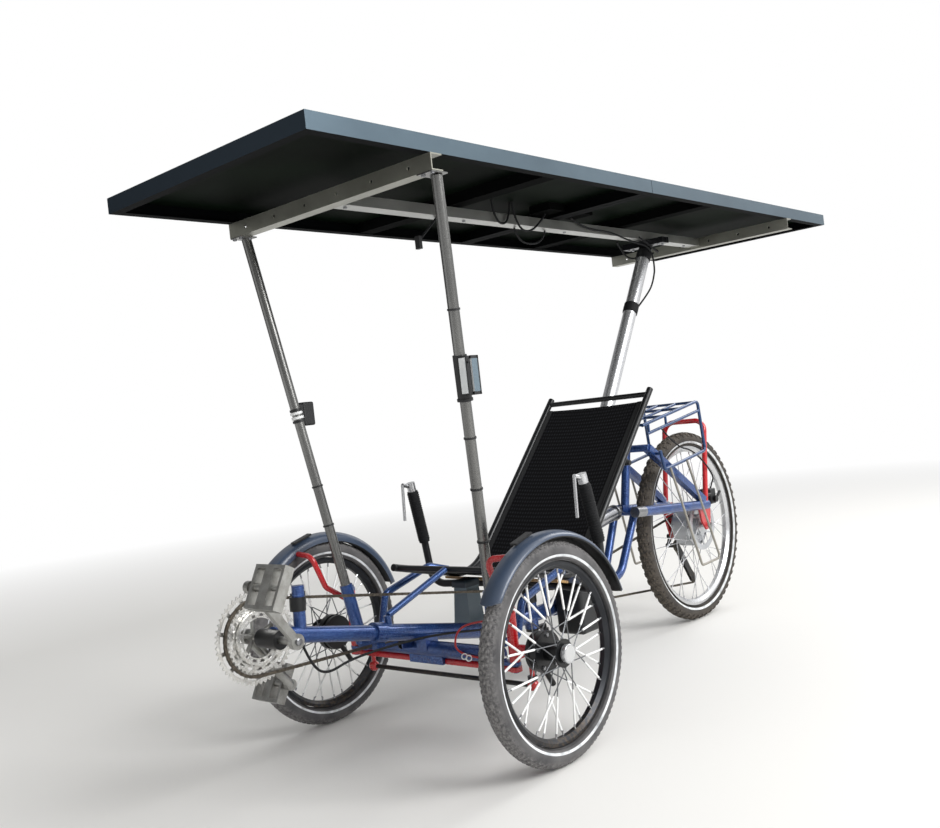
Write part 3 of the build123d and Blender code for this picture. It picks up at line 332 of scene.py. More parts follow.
def hubMaterial(name, values):  # black alloy hub with a bright cap on its outer end
    material, add, shader, place = startMaterial(name, values)
    out = add("Math", {0: add("SeparateXYZ", {0: place})["X"]}, operation="ABSOLUTE")[0]
    onCap = add("MapRange", {0: out, 1: (values["capFrom"] - 0.2) / 1000, 2: (values["capFrom"] + 0.2) / 1000})[0]
    layColours(add, shader, values["colour"], [(onCap, values["cap"])])
    feed(shader, {"Metallic": add("MapRange", {0: onCap, 3: 0.2, 4: 0.85})[0]})
    return material


# the underside colour's green tint is a painted reflection of green surroundings
solarGlass = solarTop("solarGlass", {"colour": "#0b1226", "second": "#101a33", "roughness": 0.06, "ior": 1.5,
                                     "coat": 1.0, "coatRoughness": 0.03, "cell": 125, "bar": 41.7, "cloud": 300,
                                     "silver": "#7f8894", "back": "#0a0c11", "underside": "#0c120e"})
seatWeave = weave("seatWeave", {"colour": "#08080a", "second": "#2a2b2f", "roughness": 0.9, "specular": 0.15,
                                "thread": 5})
slatAsh = grainWood("slatAsh", {"colour": "#c29a5e", "second": "#8f6a38", "roughness": 0.4, "coat": 0.4,
                                "coatRoughness": 0.2, "pore": 6})


def dress(node, material):
    mesh = nodes[node].data
    mesh.materials.clear()
    mesh.materials.append(material)


for name, values in finishes.items():
    for node in values.get("on", "").split():
        dress(node, paints[name])
dress("module_glass", solarGlass)
hubPaint = hubMaterial("hubAlloy", {"colour": "#131416", "cap": "#d4d5d6", "roughness": 0.3, "capFrom": 431})
for side in sides:
    dress("front_hub_" + side, hubPaint)
dress("seat_sling", seatWeave)
dress("seat_slat", slatAsh)
frontTyreValues = {"colour": "#333336", "dust": "#8b8988", "roughness": 0.8, "outer": 253, "dustFrom": 234,
                   "stripe": 219, "stripeWidth": 5.6, "tape": "#e3e6e8", "tapeWorn": "#9a9da0"}
rearTyreValues = {"colour": "#272627", "dust": "#61594f", "roughness": 0.85, "outer": 333, "dustFrom": 302,
                  "stripe": 296, "stripeWidth": 7, "tape": "#dcdfe0", "tapeWorn": "#96989b"}
tyreMaterials = {"rear": tyreMaterial("rearTyreRubber", {**rearTyreValues, "centre": rearAxle})}
for side in sides:
    tyreMaterials[side] = tyreMaterial("tyreRubber" + side.capitalize(),
                                       {**frontTyreValues, "centre": frontAxle[side]})
    dress("front_tyre_" + side, tyreMaterials[side])
    dress("front_spokes_" + side, sleeveMaterial("spokeSleeve" + side.capitalize(), {
        "colour": "#77797c", "sleeve": "#f2f3f2", "roughness": 0.35, "centre": frontAxle[side],
        "covered": (96, 178)}))
dress("rear_tyre", tyreMaterials["rear"])
print("materials done")


# Meshes and Geometry Nodes
def addPiece(name, data):
    piece = bpy.data.objects.new(name, data)
    bpy.context.scene.collection.objects.link(piece)
    return piece


def addMesh(name, verts, faces, materials=()):
    mesh = bpy.data.meshes.new(name)
    mesh.from_pydata([tuple(v) for v in verts], [], faces)
    for material in materials:
        mesh.materials.append(material)
    return addPiece(name, mesh)


def fixNormals(piece, merge=True):
    shape = bmesh.new()
    shape.from_mesh(piece.data)
    if merge:
        bmesh.ops.remove_doubles(shape, verts=shape.verts, dist=1e-6)
    bmesh.ops.recalc_face_normals(shape, faces=shape.faces)
    shape.to_mesh(piece.data)
    shape.free()


def smoothOver(piece, degrees):
    piece.data.shade_smooth()
    piece.data.set_sharp_from_angle(angle=math.radians(degrees))


def fit(piece, body, slotName, node=None):  # the body that carries a piece, its slot (not used), and the node it replaces
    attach(piece, body)
    if node:
        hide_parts(node)


def loopFaces(first, second, n):  # four-cornered faces between two loops of n corners
    return [(first + k, first + (k + 1) % n, second + (k + 1) % n, second + k) for k in range(n)]


def newTree(name, sockets):
    tree = bpy.data.node_groups.new(name, "GeometryNodeTree")
    for label in ("Geometry", *sockets):
        kind = sockets.get(label, label)
        tree.interface.new_socket(label, in_out="INPUT", socket_type="NodeSocket" + kind)
    tree.interface.new_socket("Geometry", in_out="OUTPUT", socket_type="NodeSocketGeometry")
    add = adder(tree)
    return tree, add, add("NodeGroupInput")


def finishTree(add, given, points, turn):  # a copy of the shape on each point, made real, in its material
    shape = add("GeometryNodeObjectInfo", {"Object": given["Shape"]})["Geometry"]
    copies = add("GeometryNodeInstanceOnPoints", {"Points": points, "Instance": shape, "Rotation": turn})[0]
    real = add("GeometryNodeRealizeInstances", {0: copies})[0]
    add("NodeGroupOutput", {0: add("GeometryNodeSetMaterial", {"Geometry": real, "Material": given["Material"]})[0]})


# Copies of one shape turned round the X axis, for what repeats round a wheel
def makeRingTree():
    tree, add, given = newTree("ringOfCopies", {"Shape": "Object", "Count": "Int", "Material": "Material"})
    points = add("GeometryNodePoints", {"Count": given["Count"]})[0]
    share = add("Math", {0: add("GeometryNodeInputIndex")[0], 1: given["Count"]}, operation="DIVIDE")[0]
    angle = add("Math", {0: share, 1: math.tau}, operation="MULTIPLY")[0]
    finishTree(add, given, points, add("CombineXYZ", {"X": angle})[0])
    return tree


# Copies of one shape on a mesh's vertices, its Z along the vertex's "aim"
def makeSpotTree():
    tree, add, given = newTree("copiesOnSpots", {"Shape": "Object", "Material": "Material"})
    aim = add("GeometryNodeInputNamedAttribute", {"Name": "aim"}, data_type="FLOAT_VECTOR")[0]
    turn = add("FunctionNodeAlignRotationToVector", {"Vector": aim}, axis="Z")[0]
    finishTree(add, given, given["Geometry"], turn)
    return tree


def runTree(name, start, tree, inputs):
    modifier = start.modifiers.new("repeat", "NODES")
    modifier.node_group = tree
    identifiers = {item.name: item.identifier for item in tree.interface.items_tree if item.in_out == "INPUT"}
    for label, value in inputs.items():
        modifier[identifiers[label]] = value
    bpy.context.view_layer.update()
    made = start.evaluated_get(bpy.context.evaluated_depsgraph_get())
    mesh = bpy.data.meshes.new_from_object(made)
    start.modifiers.remove(modifier)
    bpy.data.objects.remove(start)
    return addPiece(name, mesh)


ringTree = makeRingTree()
spotTree = makeSpotTree()


def ringOf(name, shape, count, material, centre):
    seed = addMesh(name + "Start", [(0, 0, 0)], [])
    piece = runTree(name, seed, ringTree, {"Shape": shape, "Count": count, "Material": material})
    bpy.data.objects.remove(shape)
    piece.data.transform(Matrix.Translation(centre))
    return piece


def spotsOf(name, shape, spots, material):
    seed = addMesh(name + "Start", [spot for spot, aim in spots], [])
    aims = seed.data.attributes.new("aim", "FLOAT_VECTOR", "POINT")
    for row, (spot, aim) in zip(aims.data, spots):
        row.vector = aim
    piece = runTree(name, seed, spotTree, {"Shape": shape, "Material": material})
    bpy.data.objects.remove(shape)
    fixNormals(piece)
    return piece


def loft(name, loops, materials, wrap=False):  # a skin over closed loops, closed at its ends or into a ring
    n = len(loops[0])
    verts = [point for loop in loops for point in loop]
    faces = []
    for i in range(len(loops) if wrap else len(loops) - 1):
        faces += loopFaces(i * n, (i + 1) % len(loops) * n, n)
    for base in () if wrap else (0, len(verts) - n):
        faces += [(base + j, base + j + 1, base + n - 2 - j, base + n - 1 - j) for j in range(n // 2 - 1)]
    return addMesh(name, verts, faces, materials)


def lathe(name, profile, centre, material, steps):  # turned round the X axis, from pairs of X and radius
    angles = [math.tau * i / steps for i in range(steps)]
    loops = [[centre + Vector((x, r * math.sin(a), r * math.cos(a))) for x, r in profile] for a in angles]
    piece = loft(name, loops, [material], wrap=True)
    fixNormals(piece)
    smoothOver(piece, 30)
    return piece


def addBox(name, low, high, paint, body, slotName):
    verts = [(x, y, z) for x in (low.x, high.x) for y in (low.y, high.y) for z in (low.z, high.z)]
    faces = [(0, 1, 3, 2), (4, 6, 7, 5), (0, 4, 5, 1), (2, 3, 7, 6), (0, 2, 6, 4), (1, 5, 7, 3)]
    piece = addMesh(name, verts, faces, [paints[paint]])
    fixNormals(piece)
    fit(piece, body, slotName)
    return piece


# Tyres: a casing with blocks of rubber round it; a block's degrees from the middle, length, width and depth in mm
tyres = {
    "front": {"outer": 0.253, "bead": 0.206, "half": 0.025, "pitches": 96, "hidden": 0.0015,
              "blocks": [(0, 11, 5.0, 1.2), (-24, 12, 5.5, 1.2), (24, 12, 5.5, 1.2), (-46, 9, 5.0, 1.0),
                         (46, 9, 5.0, 1.0)]},
    "rear": {"outer": 0.333, "bead": 0.283, "half": 0.027, "pitches": 64, "hidden": 0.0015,
             "blocks": [(-11, 20, 9.0, 3.0), (11, 20, 9.0, 3.0), (-37, 15, 10.0, 3.2), (37, 15, 10.0, 3.2),
                        (-60, 9, 8.0, 2.6), (60, 9, 8.0, 2.6)]},
}
blockRoot, blockTaper = 0.0008, 0.78  # how deep a block stands in the casing, and its width at the top


def casingPoint(values, degrees, lift):  # a point over the casing, and the way out from it
    deep = max(block[3] for block in values["blocks"]) / 1000
    tall = (values["outer"] - values["bead"]) / 2 + values["hidden"]
    middle = values["outer"] - tall
    half, up = values["half"] - deep * 0.4, tall - deep
    a = math.radians(degrees)
    away = Vector((math.sin(a) / half, 0, math.cos(a) / up)).normalized()
    return Vector((half * math.sin(a), 0, middle + up * math.cos(a))) + away * lift, away


def tread(name, values):  # one pitch of the tread, repeated round the wheel
    verts, faces = [], []
    halfPitch = math.tau * values["outer"] / values["pitches"] / 2
    for number, (degrees, length, width, depth) in enumerate(values["blocks"]):
        base, away = casingPoint(values, degrees, -blockRoot)
        across = Vector((away.z, 0, -away.x))
        shift = number % 2 * halfPitch * (1 if number > 1 else 0.6)  # every other block is set off, the second less
        first = len(verts)
        for level, grow in ((0.0, 1.0), (depth / 1000 + blockRoot, blockTaper)):
            for sx, sy in ((-1, -1), (1, -1), (1, 1), (-1, 1)):
                verts.append(base + away * level + across * (sx * width / 2000 * grow)
                             + Vector((0, shift + sy * length / 2000 * grow, 0)))
        for quad in ((4, 5, 6, 7), (0, 1, 5, 4), (1, 2, 6, 5), (2, 3, 7, 6), (3, 0, 4, 7), (3, 2, 1, 0)):
            faces.append([first + k for k in quad])
    return addMesh(name, verts, faces)


def makeTyre(name, values, centre, material, body, node):
    profile = [casingPoint(values, degrees, 0)[0] for degrees in range(-140, 141, 10)]
    inner = [(x * 0.8, values["bead"] + 0.002) for x in (values["half"], -values["half"])]
    casing = lathe(name, [(p.x, p.z) for p in profile] + inner, centre, material, 128)
    blocks = ringOf(name + "Tread", tread(name + "Pitch", values), values["pitches"], material, centre)
    fit(casing, body, "tyre_black", node)
    fit(blocks, body, "tyre_black")


for side in sides:
    makeTyre("tyre" + side.capitalize(), tyres["front"], frontAxle[side], tyreMaterials[side], side + "_wheel",
             "front_tyre_" + side)
makeTyre("tyreRear", tyres["rear"], rearAxle, tyreMaterials["rear"], "back_wheel", "rear_tyre")
print("tyres done")


# Black back sheet under each glass laminate, 0.3 mm thick
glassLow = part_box("module_glass")[0].z * 1000
for name, front, rear in (("backSheetFront", -528, 712), ("backSheetRear", 736, 1976)):
    addBox(name, at(-359, front, glassLow - 0.4), at(359, rear, glassLow - 0.1), "backSheet", "chassis",
           "solar_glass")


# Free cables: the node that one replaces, radius in mm, length in m, lay and the route in mm from the front axle
cordDefaults = {"node": None, "paint": "softRubber", "slot": "rubber_black", "radius": 3, "lay": "hanging"}
cords = {
    "boomCable": {"node": "black_cables", "length": 0.6575, "route": [
        (16.6, -412, 353.6), (30, -402, 300), (30, -362, 266), (30, -283, 284), (30, -93, 279), (30, 60, 262),
        (30, 190, 238)]},
    "brakeCable": {"radius": 2.6, "length": 0.4306, "route": [
        (96, 1090, 698), (96, 1173, 628), (96, 1290, 606), (98, 1412, 505), (80, 1420, 474), (74, 1420, 457.3)]},
    "redCable": {"node": "red_cable", "paint": "cableRed", "slot": "cable_red", "radius": 2.6, "length": 0.2149,
                 "lay": "loose", "route": [
                     (233.5, -32.5, 323), (174, -34, 316), (128, -34, 288), (121, -34, 236), (190, -27.8, 232)]},
    "roofLoop": {"node": "roof_wiring", "length": 0.1672, "route": [
        (30, 414, 1412), (30, 420, 1347.5), (30, 485, 1347.5), (30, 497, 1412)]},
    "roofSag": {"length": 0.229, "route": [
        (38, 497, 1412), (38, 505, 1335.5), (38, 590, 1327.5), (38, 655, 1390)]},
    "mastCable": {"length": 0.5478, "route": [
        (30, 800, 1390), (30, 860, 1361.5), (30, 1020, 1361.5), (30, 1136, 1337.5), (30, 1290, 1323.5),
        (30, 1275, 1240)]},
    "mastDrop": {"length": 0.1774, "route": [
        (30, 1275, 1240), (27, 1262, 1196), (19, 1215, 1150), (14, 1160, 1112)]},
    "clampLoopLeft": {"length": 0.1787, "route": [
        (46, 1170, 1351), (62, 1216, 1318), (58, 1262, 1300), (40, 1300, 1312), (12, 1304, 1330)]},
    "clampLoopRight": {"length": 0.1758, "route": [
        (-46, 1176, 1351), (-60, 1222, 1322), (-54, 1266, 1296), (-36, 1300, 1306), (-10, 1304, 1330)]},
    "spineLoop": {"length": 0.2071, "route": [
        (-14, 560, 1361), (-16, 575, 1318), (-18, 640, 1306), (-16, 705, 1322), (-14, 720, 1361)]},
    "roofStrap": {"radius": 3.6, "length": 0.0946, "route": [(0, 206, 1349.4), (0, 190, 1336), (0, 134, 1288)]},
}


def addCord(name, values):
    curve = bpy.data.curves.new(name, "CURVE")
    curve.dimensions = "3D"
    curve.bevel_depth = values["radius"] / 1000
    curve.bevel_resolution = 3
    curve.resolution_u = 10
    curve.use_fill_caps = True
    spline = curve.splines.new("NURBS")
    spline.points.add(len(values["route"]) - 1)
    for point, spot in zip(spline.points, values["route"]):
        point.co = (*at(*spot), 1.0)
    spline.use_endpoint_u = True
    spline.order_u = 3
    curve.materials.append(paints[values["paint"]])
    piece = addPiece(name, curve)
    fit(piece, "chassis", values["slot"], values["node"])
    tuple(at(*values["route"][0]))


for name, given in cords.items():
    addCord(name, {**cordDefaults, **given})
for name, front, rear in (("junctionFront", 618, 694), ("junctionRear", 762, 842)):
    addBox(name, at(8, front, 1391.5), at(84, rear, 1413.1), "barBlack", "chassis", "rubber_black")
print("cables done")


# Chain links round the middle ring, rollers, pulleys and sprocket: Y, Z, pitch radius and turning sense
chainWheels = [(*crankAxis, 85, 1), (-48, 252, 16, -1), (1440, 128, 17, 1), (1352, 262, 17, -1), (1374, 333, 40, 1),
               (603, 289, 30, -1)]
chainValues = {"x": -50, "pitch": 12.7, "plate": 4.1, "waist": 3.2, "thick": 0.75}
chainRows = (("chainOuter", 0, 2.75, 2.5), ("chainInner", 1, 1.95, 3.5))  # first link, half width, roller radius


def chainPath():  # even steps along the chain's middle line, in millimetres from the front axle
    ends = []
    for (ya, za, ra, ta), (yb, zb, rb, tb) in zip(chainWheels, chainWheels[1:] + chainWheels[:1]):
        angle = math.atan2(zb - za, yb - ya) - math.asin((tb * rb - ta * ra) / math.hypot(yb - ya, zb - za))
        away = Vector((-math.sin(angle), math.cos(angle)))
        ends.append((Vector((ya, za)) - away * ta * ra, Vector((yb, zb)) - away * tb * rb))
    line = []
    for number, (y, z, r, turn) in enumerate(chainWheels):
        start, end = ends[number - 1][1], ends[number][0]
        first = math.atan2(start.y - z, start.x - y)
        sweep = (turn * (math.atan2(end.y - z, end.x - y) - first)) % math.tau
        steps = max(2, round(sweep * r / 2))
        angles = [first + turn * sweep * k / steps for k in range(steps + 1)]
        line += [Vector((y + r * math.cos(a), z + r * math.sin(a))) for a in angles]
    line.append(line[0])
    marks = [0.0]
    for a, b in zip(line, line[1:]):
        marks.append(marks[-1] + (b - a).length)
    count = 2 * round(marks[-1] / chainValues["pitch"] / 2)
    points, k = [], 0
    for number in range(count):
        target = marks[-1] * number / count
        while marks[k + 1] < target:
            k += 1
        points.append(line[k].lerp(line[k + 1], (target - marks[k]) / (marks[k + 1] - marks[k])))
    return points


def addPrism(verts, faces, outline, near, far):  # an outline in Y and Z, drawn out along X and closed
    first, n = len(verts), len(outline)
    verts += [(x, y, z) for x in (near, far) for y, z in outline]
    faces += [[first + k for k in range(n)], [first + n + k for k in reversed(range(n))]]
    faces += loopFaces(first, first + n, n)


def chainLink(name, offset, radius):  # two waisted plates along Z with their bushings or rollers, in mm
    half, plate = chainValues["pitch"] / 2, chainValues["plate"]
    outline = []
    for end in (1, -1):
        for a in map(math.radians, (-60, -20, 20, 60)):
            outline.append((end * plate * math.sin(a), end * (half + plate * math.cos(a))))
        outline.append((end * chainValues["waist"], 0.0))
    verts, faces = [], []
    inside = offset - chainValues["thick"]
    for side in (-1, 1):
        addPrism(verts, faces, outline, side * offset, side * inside)
    for z in (half, -half):
        circle = [(radius * math.cos(a), z + radius * math.sin(a)) for a in (math.tau * k / 8 for k in range(8))]
        addPrism(verts, faces, circle, -inside, inside)
    return addMesh(name, [Vector(v) / 1000 for v in verts], faces)


points = chainPath()
for name, start, offset, radius in chainRows:
    spots = []
    for a, b in list(zip(points, points[1:] + points[:1]))[start::2]:
        spots.append((at(chainValues["x"], *((a + b) / 2)), Vector((0, *(b - a))).normalized()))
    piece = spotsOf(name, chainLink(name + "Link", offset, radius), spots, paints["chainSteel"])
    fit(piece, "chassis", "steel", "chain" if name == "chainOuter" else None)
print("chain done")


# Fenders: a crowned shell with rounded ends, painted outside and black inside; degrees round the wheel, and mm
fenderValues = {"y": 8, "radius": 276, "half": 30, "thick": 3, "from": 18, "to": 146, "roundRear": 3.0,
                "roundFront": 5.5, "steps": 80, "profile": [(-30, -26), (-28, -13), (-20, -3.6), (-8, 0), (8, 0),
                                                            (21, -3.8), (28, -9), (30, -14)]}
clipValues = {"x": (380, 398), "y": -92, "z": 521, "size": (18, 62, 5), "tilt": 15}


def curveThrough(knots, steps):  # a smooth line through points
    line = []
    for k in range(len(knots) - 1):
        before, start, end, after = (Vector(knots[min(max(k + d, 0), len(knots) - 1)]) for d in (-1, 0, 1, 2))
        for t in (step / steps for step in range(steps)):
            line.append(0.5 * (2 * start + (end - before) * t + (2 * before - 5 * start + 4 * end - after) * t ** 2
                               + (3 * start - before - 3 * end + after) * t ** 3))
    return line + [Vector(knots[-1])]


def fenderShell(name, side, sign):
    half, thick, steps = (fenderValues[key] for key in ("half", "thick", "steps"))
    line = curveThrough(fenderValues["profile"], 4)
    loop = line + [Vector((p.x * (half - thick) / half, p.y - thick)) for p in reversed(line)]
    hub = frontAxle[side] + Vector((0, fenderValues["y"] / 1000, 0))
    loops = []
    for i in range(steps + 1):
        loops.append([])
        for p in loop:
            bulge = math.sqrt(max(0.0, 1 - (p.x / half) ** 2))
            first = fenderValues["from"] + fenderValues["roundRear"] * (1 - bulge)
            last = fenderValues["to"] - fenderValues["roundFront"] * (1 - bulge)
            a = math.radians(first + (last - first) * i / steps)
            r = (fenderValues["radius"] + p.y) / 1000
            loops[-1].append(hub + Vector((sign * p.x / 1000, r * math.cos(a), r * math.sin(a))))
    piece = loft(name, loops, [paints["fenderBlue"], paints["mouldedBlack"]])
    for number in range(steps * len(loop)):
        piece.data.polygons[number].material_index = int(number % len(loop) >= len(line) - 1)
    fixNormals(piece)
    smoothOver(piece, 40)
    fit(piece, side + "_knuckle", "fender_blue", "fender_" + side)


for side, sign in sides.items():
    fenderShell("fenderShell" + side.capitalize(), side, sign)
    low = at(min(sign * x for x in clipValues["x"]), clipValues["y"], clipValues["z"])
    size = Vector(clipValues["size"]) / 1000
    clip = addBox("fenderClip" + side.capitalize(), low, low + size, "mouldedBlack", side + "_knuckle",
                  "mould_black")
    tilt = Matrix.Rotation(math.radians(clipValues["tilt"]), 4, "X")
    middle = Matrix.Translation(low + size / 2)
    clip.data.transform(middle @ tilt @ middle.inverted())


# Chainrings: x, half thickness, radii, whether toothed, steps round, and by row the slots' pitch and width in steps
ringPlates = [
    (-58, 1.2, (76, 84, 93, 98.5, 105), True, 312, {1: (24, 19)}),
    (-50, 1.2, (62, 65.5, 71, 75, 80.4), True, 252, {1: (14, 8)}),
    (-42, 1.2, (44, 47, 53, 57.5, 62), True, 180, {1: (12, 6)}),
    (-58, 2.0, (54, 58, 65, 71, 80), False, 180, {1: (18, 8), 2: (36, 22)}),
    (-45.5, 5.5, (54, 60), False, 60, {}),
]
toothShape = (1.0, 1.0, 0.55, 0.16, 0.16, 0.55)  # share of a tooth's height at each of its six steps


def polarPlate(verts, faces, x, half, radii, teeth, steps, slots):  # a flat plate on a polar grid of cells
    index = {}

    def corner(i, j, side):
        key = (i % steps, j, side)
        if key not in index:
            r = radii[j]
            if j == len(radii) - 1 and teeth:
                r = radii[j - 1] + (r - radii[j - 1]) * toothShape[i % 6]
            a = math.tau * i / steps
            index[key] = len(verts)
            verts.append(at(x + side * half, *crankAxis) + Vector((0, r * math.cos(a), r * math.sin(a))) / 1000)
        return index[key]

    def kept(i, j):
        if j < 0 or j >= len(radii) - 1:
            return False
        return j not in slots or (i % steps) % slots[j][0] >= slots[j][1]

    for i, j in [(i, j) for i in range(steps) for j in range(len(radii) - 1) if kept(i, j)]:
        for side in (1, -1):
            faces.append([corner(i, j, side), corner(i + 1, j, side), corner(i + 1, j + 1, side),
                          corner(i, j + 1, side)])
        for di, dj, a, b in ((0, -1, (i, j), (i + 1, j)), (0, 1, (i, j + 1), (i + 1, j + 1)),
                             (-1, 0, (i, j), (i, j + 1)), (1, 0, (i + 1, j), (i + 1, j + 1))):
            if not kept(i + di, j + dj):
                faces.append([corner(*a, 1), corner(*b, 1), corner(*b, -1), corner(*a, -1)])


verts, faces = [], []
for row in ringPlates:
    polarPlate(verts, faces, *row)
rings = addMesh("chainringPlates", verts, faces, [paints["ringAlloy"]])
fixNormals(rings, merge=False)  # the plates touch one another, so their corners stay apart
fit(rings, "crankset", "silver_alloy", "chainrings")
print("rings done")


# Seat sling: mesh cloth stretched between the side rails, with hems and webbing behind it
slingValues = {"half": 179.5, "start": (124, 410.0), "crease": (405, 338), "top": (854, 793.5), "bend": 80.5,
               "sag": 5, "thick": 1.6}
hemValues = {"across": ((-179, -163), (163, 179)), "lift": 1.2, "thick": 4.4}
beltValues = {"rows": ((3, 7), (24, 27), (31, 34), (38, 41), (44, 46)), "half": 176, "lift": -1.4, "thick": 1.4}


def slingLine():  # points of the sling's middle line in its side view
    start, crease, top = (Vector(slingValues[key]) for key in ("start", "crease", "top"))
    before = crease + (start - crease).normalized() * slingValues["bend"]
    after = crease + (top - crease).normalized() * slingValues["bend"]
    line = [start.lerp(before, k / 8) for k in range(8)]
    for t in (k / 12 for k in range(12)):
        line.append(before * (1 - t) ** 2 + crease * 2 * t * (1 - t) + after * t ** 2)
    return line + [after.lerp(top, k / 26) for k in range(27)]


def stripAlong(name, line, x0, x1, columns, lift, thick, material):
    across = [x0 + (x1 - x0) * c / columns for c in range(columns + 1)]
    loops = []
    for k, p in enumerate(line):
        way = (line[min(k + 1, len(line) - 1)] - line[max(k - 1, 0)]).normalized()
        loops.append([])
        for side, row in ((1, across), (-1, across[::-1])):
            for x in row:
                depth = slingValues["sag"] * (1 - (x / slingValues["half"]) ** 2)
                loops[-1].append(at(x, *(p + Vector((-way.y, way.x)) * (lift - depth + side * thick / 2))))
    piece = loft(name, loops, [material])
    fixNormals(piece)
    smoothOver(piece, 50)
    fit(piece, "chassis", "mesh_black")
    return piece


line = slingLine()
sling = stripAlong("seatCloth", line, -slingValues["half"], slingValues["half"], 24, 1.0, slingValues["thick"],
                   seatWeave)
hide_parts("seat_sling")
for number, (x0, x1) in enumerate(hemValues["across"]):
    stripAlong("slingHem%d" % number, line, x0, x1, 2, hemValues["lift"], hemValues["thick"],
                           paints["mouldedBlack"])
for number, (first, last) in enumerate(beltValues["rows"]):
    stripAlong("slingBelt%d" % number, line[first:last + 1], -beltValues["half"], beltValues["half"], 24,
                           beltValues["lift"], beltValues["thick"], paints["mouldedBlack"])
print("seat done")


# Small fittings: hub caps, ball boots, bolts, nipples, cable ties and grip ribs; a shape has radius and height in mm
fittings = {
    "bolt": dict(paint="springSteel", slot="steel", steps=6,
                 shape=[(0, 4.2), (3.5, 4.2), (5, 3.6), (5.5, 0), (5.5, -0.5), (0, -0.5)]),
    "nut": dict(paint="springSteel", slot="steel", steps=6,
                shape=[(0, 6), (6, 6), (7.8, 5), (8.2, 0), (8.2, -0.5), (0, -0.5)]),
    "nipple": dict(paint="brightAlloy", slot="steel", steps=8,
                   shape=[(0, 10), (0.9, 10), (2.2, 9.5), (2.4, 0), (2.4, -2), (0, -2)]),
    "cap": dict(paint="brightAlloy", slot="silver_alloy", steps=40,
                shape=[(17, 0), (21, 0), (21.8, -0.8), (21.8, -8), (17, -8), (17, 0)]),
    "boot": dict(paint="partRed", slot="red_paint", steps=28, smooth=60,
                 shape=[(14.5 * math.sin(a), 14.5 * math.cos(a)) for a in map(math.radians, range(0, 181, 18))]),
    "tie": dict(paint="mouldedBlack", slot="mould_black", steps=28,
                shape=[(13.1, -2.2), (15, -2.2), (15, 2.2), (13.1, 2.2), (13.1, -2.2)]),
    "band": dict(paint="tieWhite", slot="white_sleeve", steps=28,
                 shape=[(13.1, -3.4), (16.6, -3.4), (16.6, 3.4), (13.1, 3.4), (13.1, -3.4)]),
    "loop": dict(paint="tieWhite", slot="white_sleeve", steps=20, smooth=60,
                 shape=[(5.2, 0), (6, 1.4), (7.4, 1.4), (8.2, 0), (7.4, -1.4), (6, -1.4), (5.2, 0)]),
    "wrap": dict(paint="softRubber", slot="rubber_black", steps=40,
                 shape=[(22.6, -18), (25.2, -17), (25.6, 0), (25.2, 17), (22.6, 18), (22.6, -18)]),
    "rib": dict(paint="softRubber", slot="rubber_black", steps=24, smooth=50,
                shape=[(15.6, -2.2), (17.6, -1.2), (17.6, 1.2), (15.6, 2.2), (15.6, -2.2)]),
}
# In mm: how far out a fitting is, and the radius of the circle that it stands on
spotValues = {"capOut": 41.8, "drumOut": -20, "drumRadius": 39, "frontNipples": 32, "frontRim": 189.2,
              "rearNipples": 36, "rearRim": 263.2, "nippleOut": 4, "motorOut": 28, "motorRadius": 66,
              "axleOut": 82.2, "ringRadius": 57, "crankOut": 93, "kingpinOut": 280}
tubes = {"mast": ((239, -13, 235), (349, -163, 1341)), "rearMast": ((0, 745, 505), (0, 1285, 1330)),
         "grip": ((316, 345, 440), (312, 312, 600))}


def turned(name, profile, steps):  # turned shape along Z
    verts, faces = [], []
    count = len(profile)
    for i in range(steps):
        a = math.tau * i / steps
        verts += [Vector((r * math.cos(a), r * math.sin(a), z)) / 1000 for r, z in profile]
        first, second = i * count, (i + 1) % steps * count
        faces += [(first + j, second + j, second + j + 1, first + j + 1) for j in range(count - 1)]
    piece = addMesh(name, verts, faces)
    fixNormals(piece)
    return piece


def addFittings(name, kind, spots, body="chassis", steps=None):
    values = fittings[kind]
    shape = turned(name + "Shape", values["shape"], steps or values["steps"])
    piece = spotsOf(name, shape, spots, paints[values["paint"]])
    smoothOver(piece, values.get("smooth", 35))
    fit(piece, body, values["slot"])


def outAlong(centre, sign, key):  # one spot beside an axle, aimed away from the middle
    return centre + outward * sign * spotValues[key] / 1000, outward * sign


def roundAxle(centre, count, out, radius, aim, start=0.0):  # a circle round an axle, all aimed one way
    angles = [math.tau * (k + start) / count for k in range(count)]
    return [(centre + Vector((out, radius * math.sin(a), radius * math.cos(a))) / 1000, aim) for a in angles]


def inRim(centre, count, radius, sign):  # aimed at the axle, left and right by turns
    spots = []
    for k in range(count):
        away = Vector((0, math.sin(math.tau * k / count), math.cos(math.tau * k / count)))
        aside = outward * spotValues["nippleOut"] * (sign if k % 2 else -sign)
        spots.append((centre + (away * radius + aside) / 1000, -away))
    return spots


def onTube(tube, sign, z):  # a place on a straight tube, aimed along it
    foot, head = (Vector(end) for end in tubes[tube])
    spot, way = foot.lerp(head, (z - foot.z) / (head.z - foot.z)), (head - foot).normalized()
    return at(sign * spot.x, spot.y, spot.z), Vector((sign * way.x, way.y, way.z))


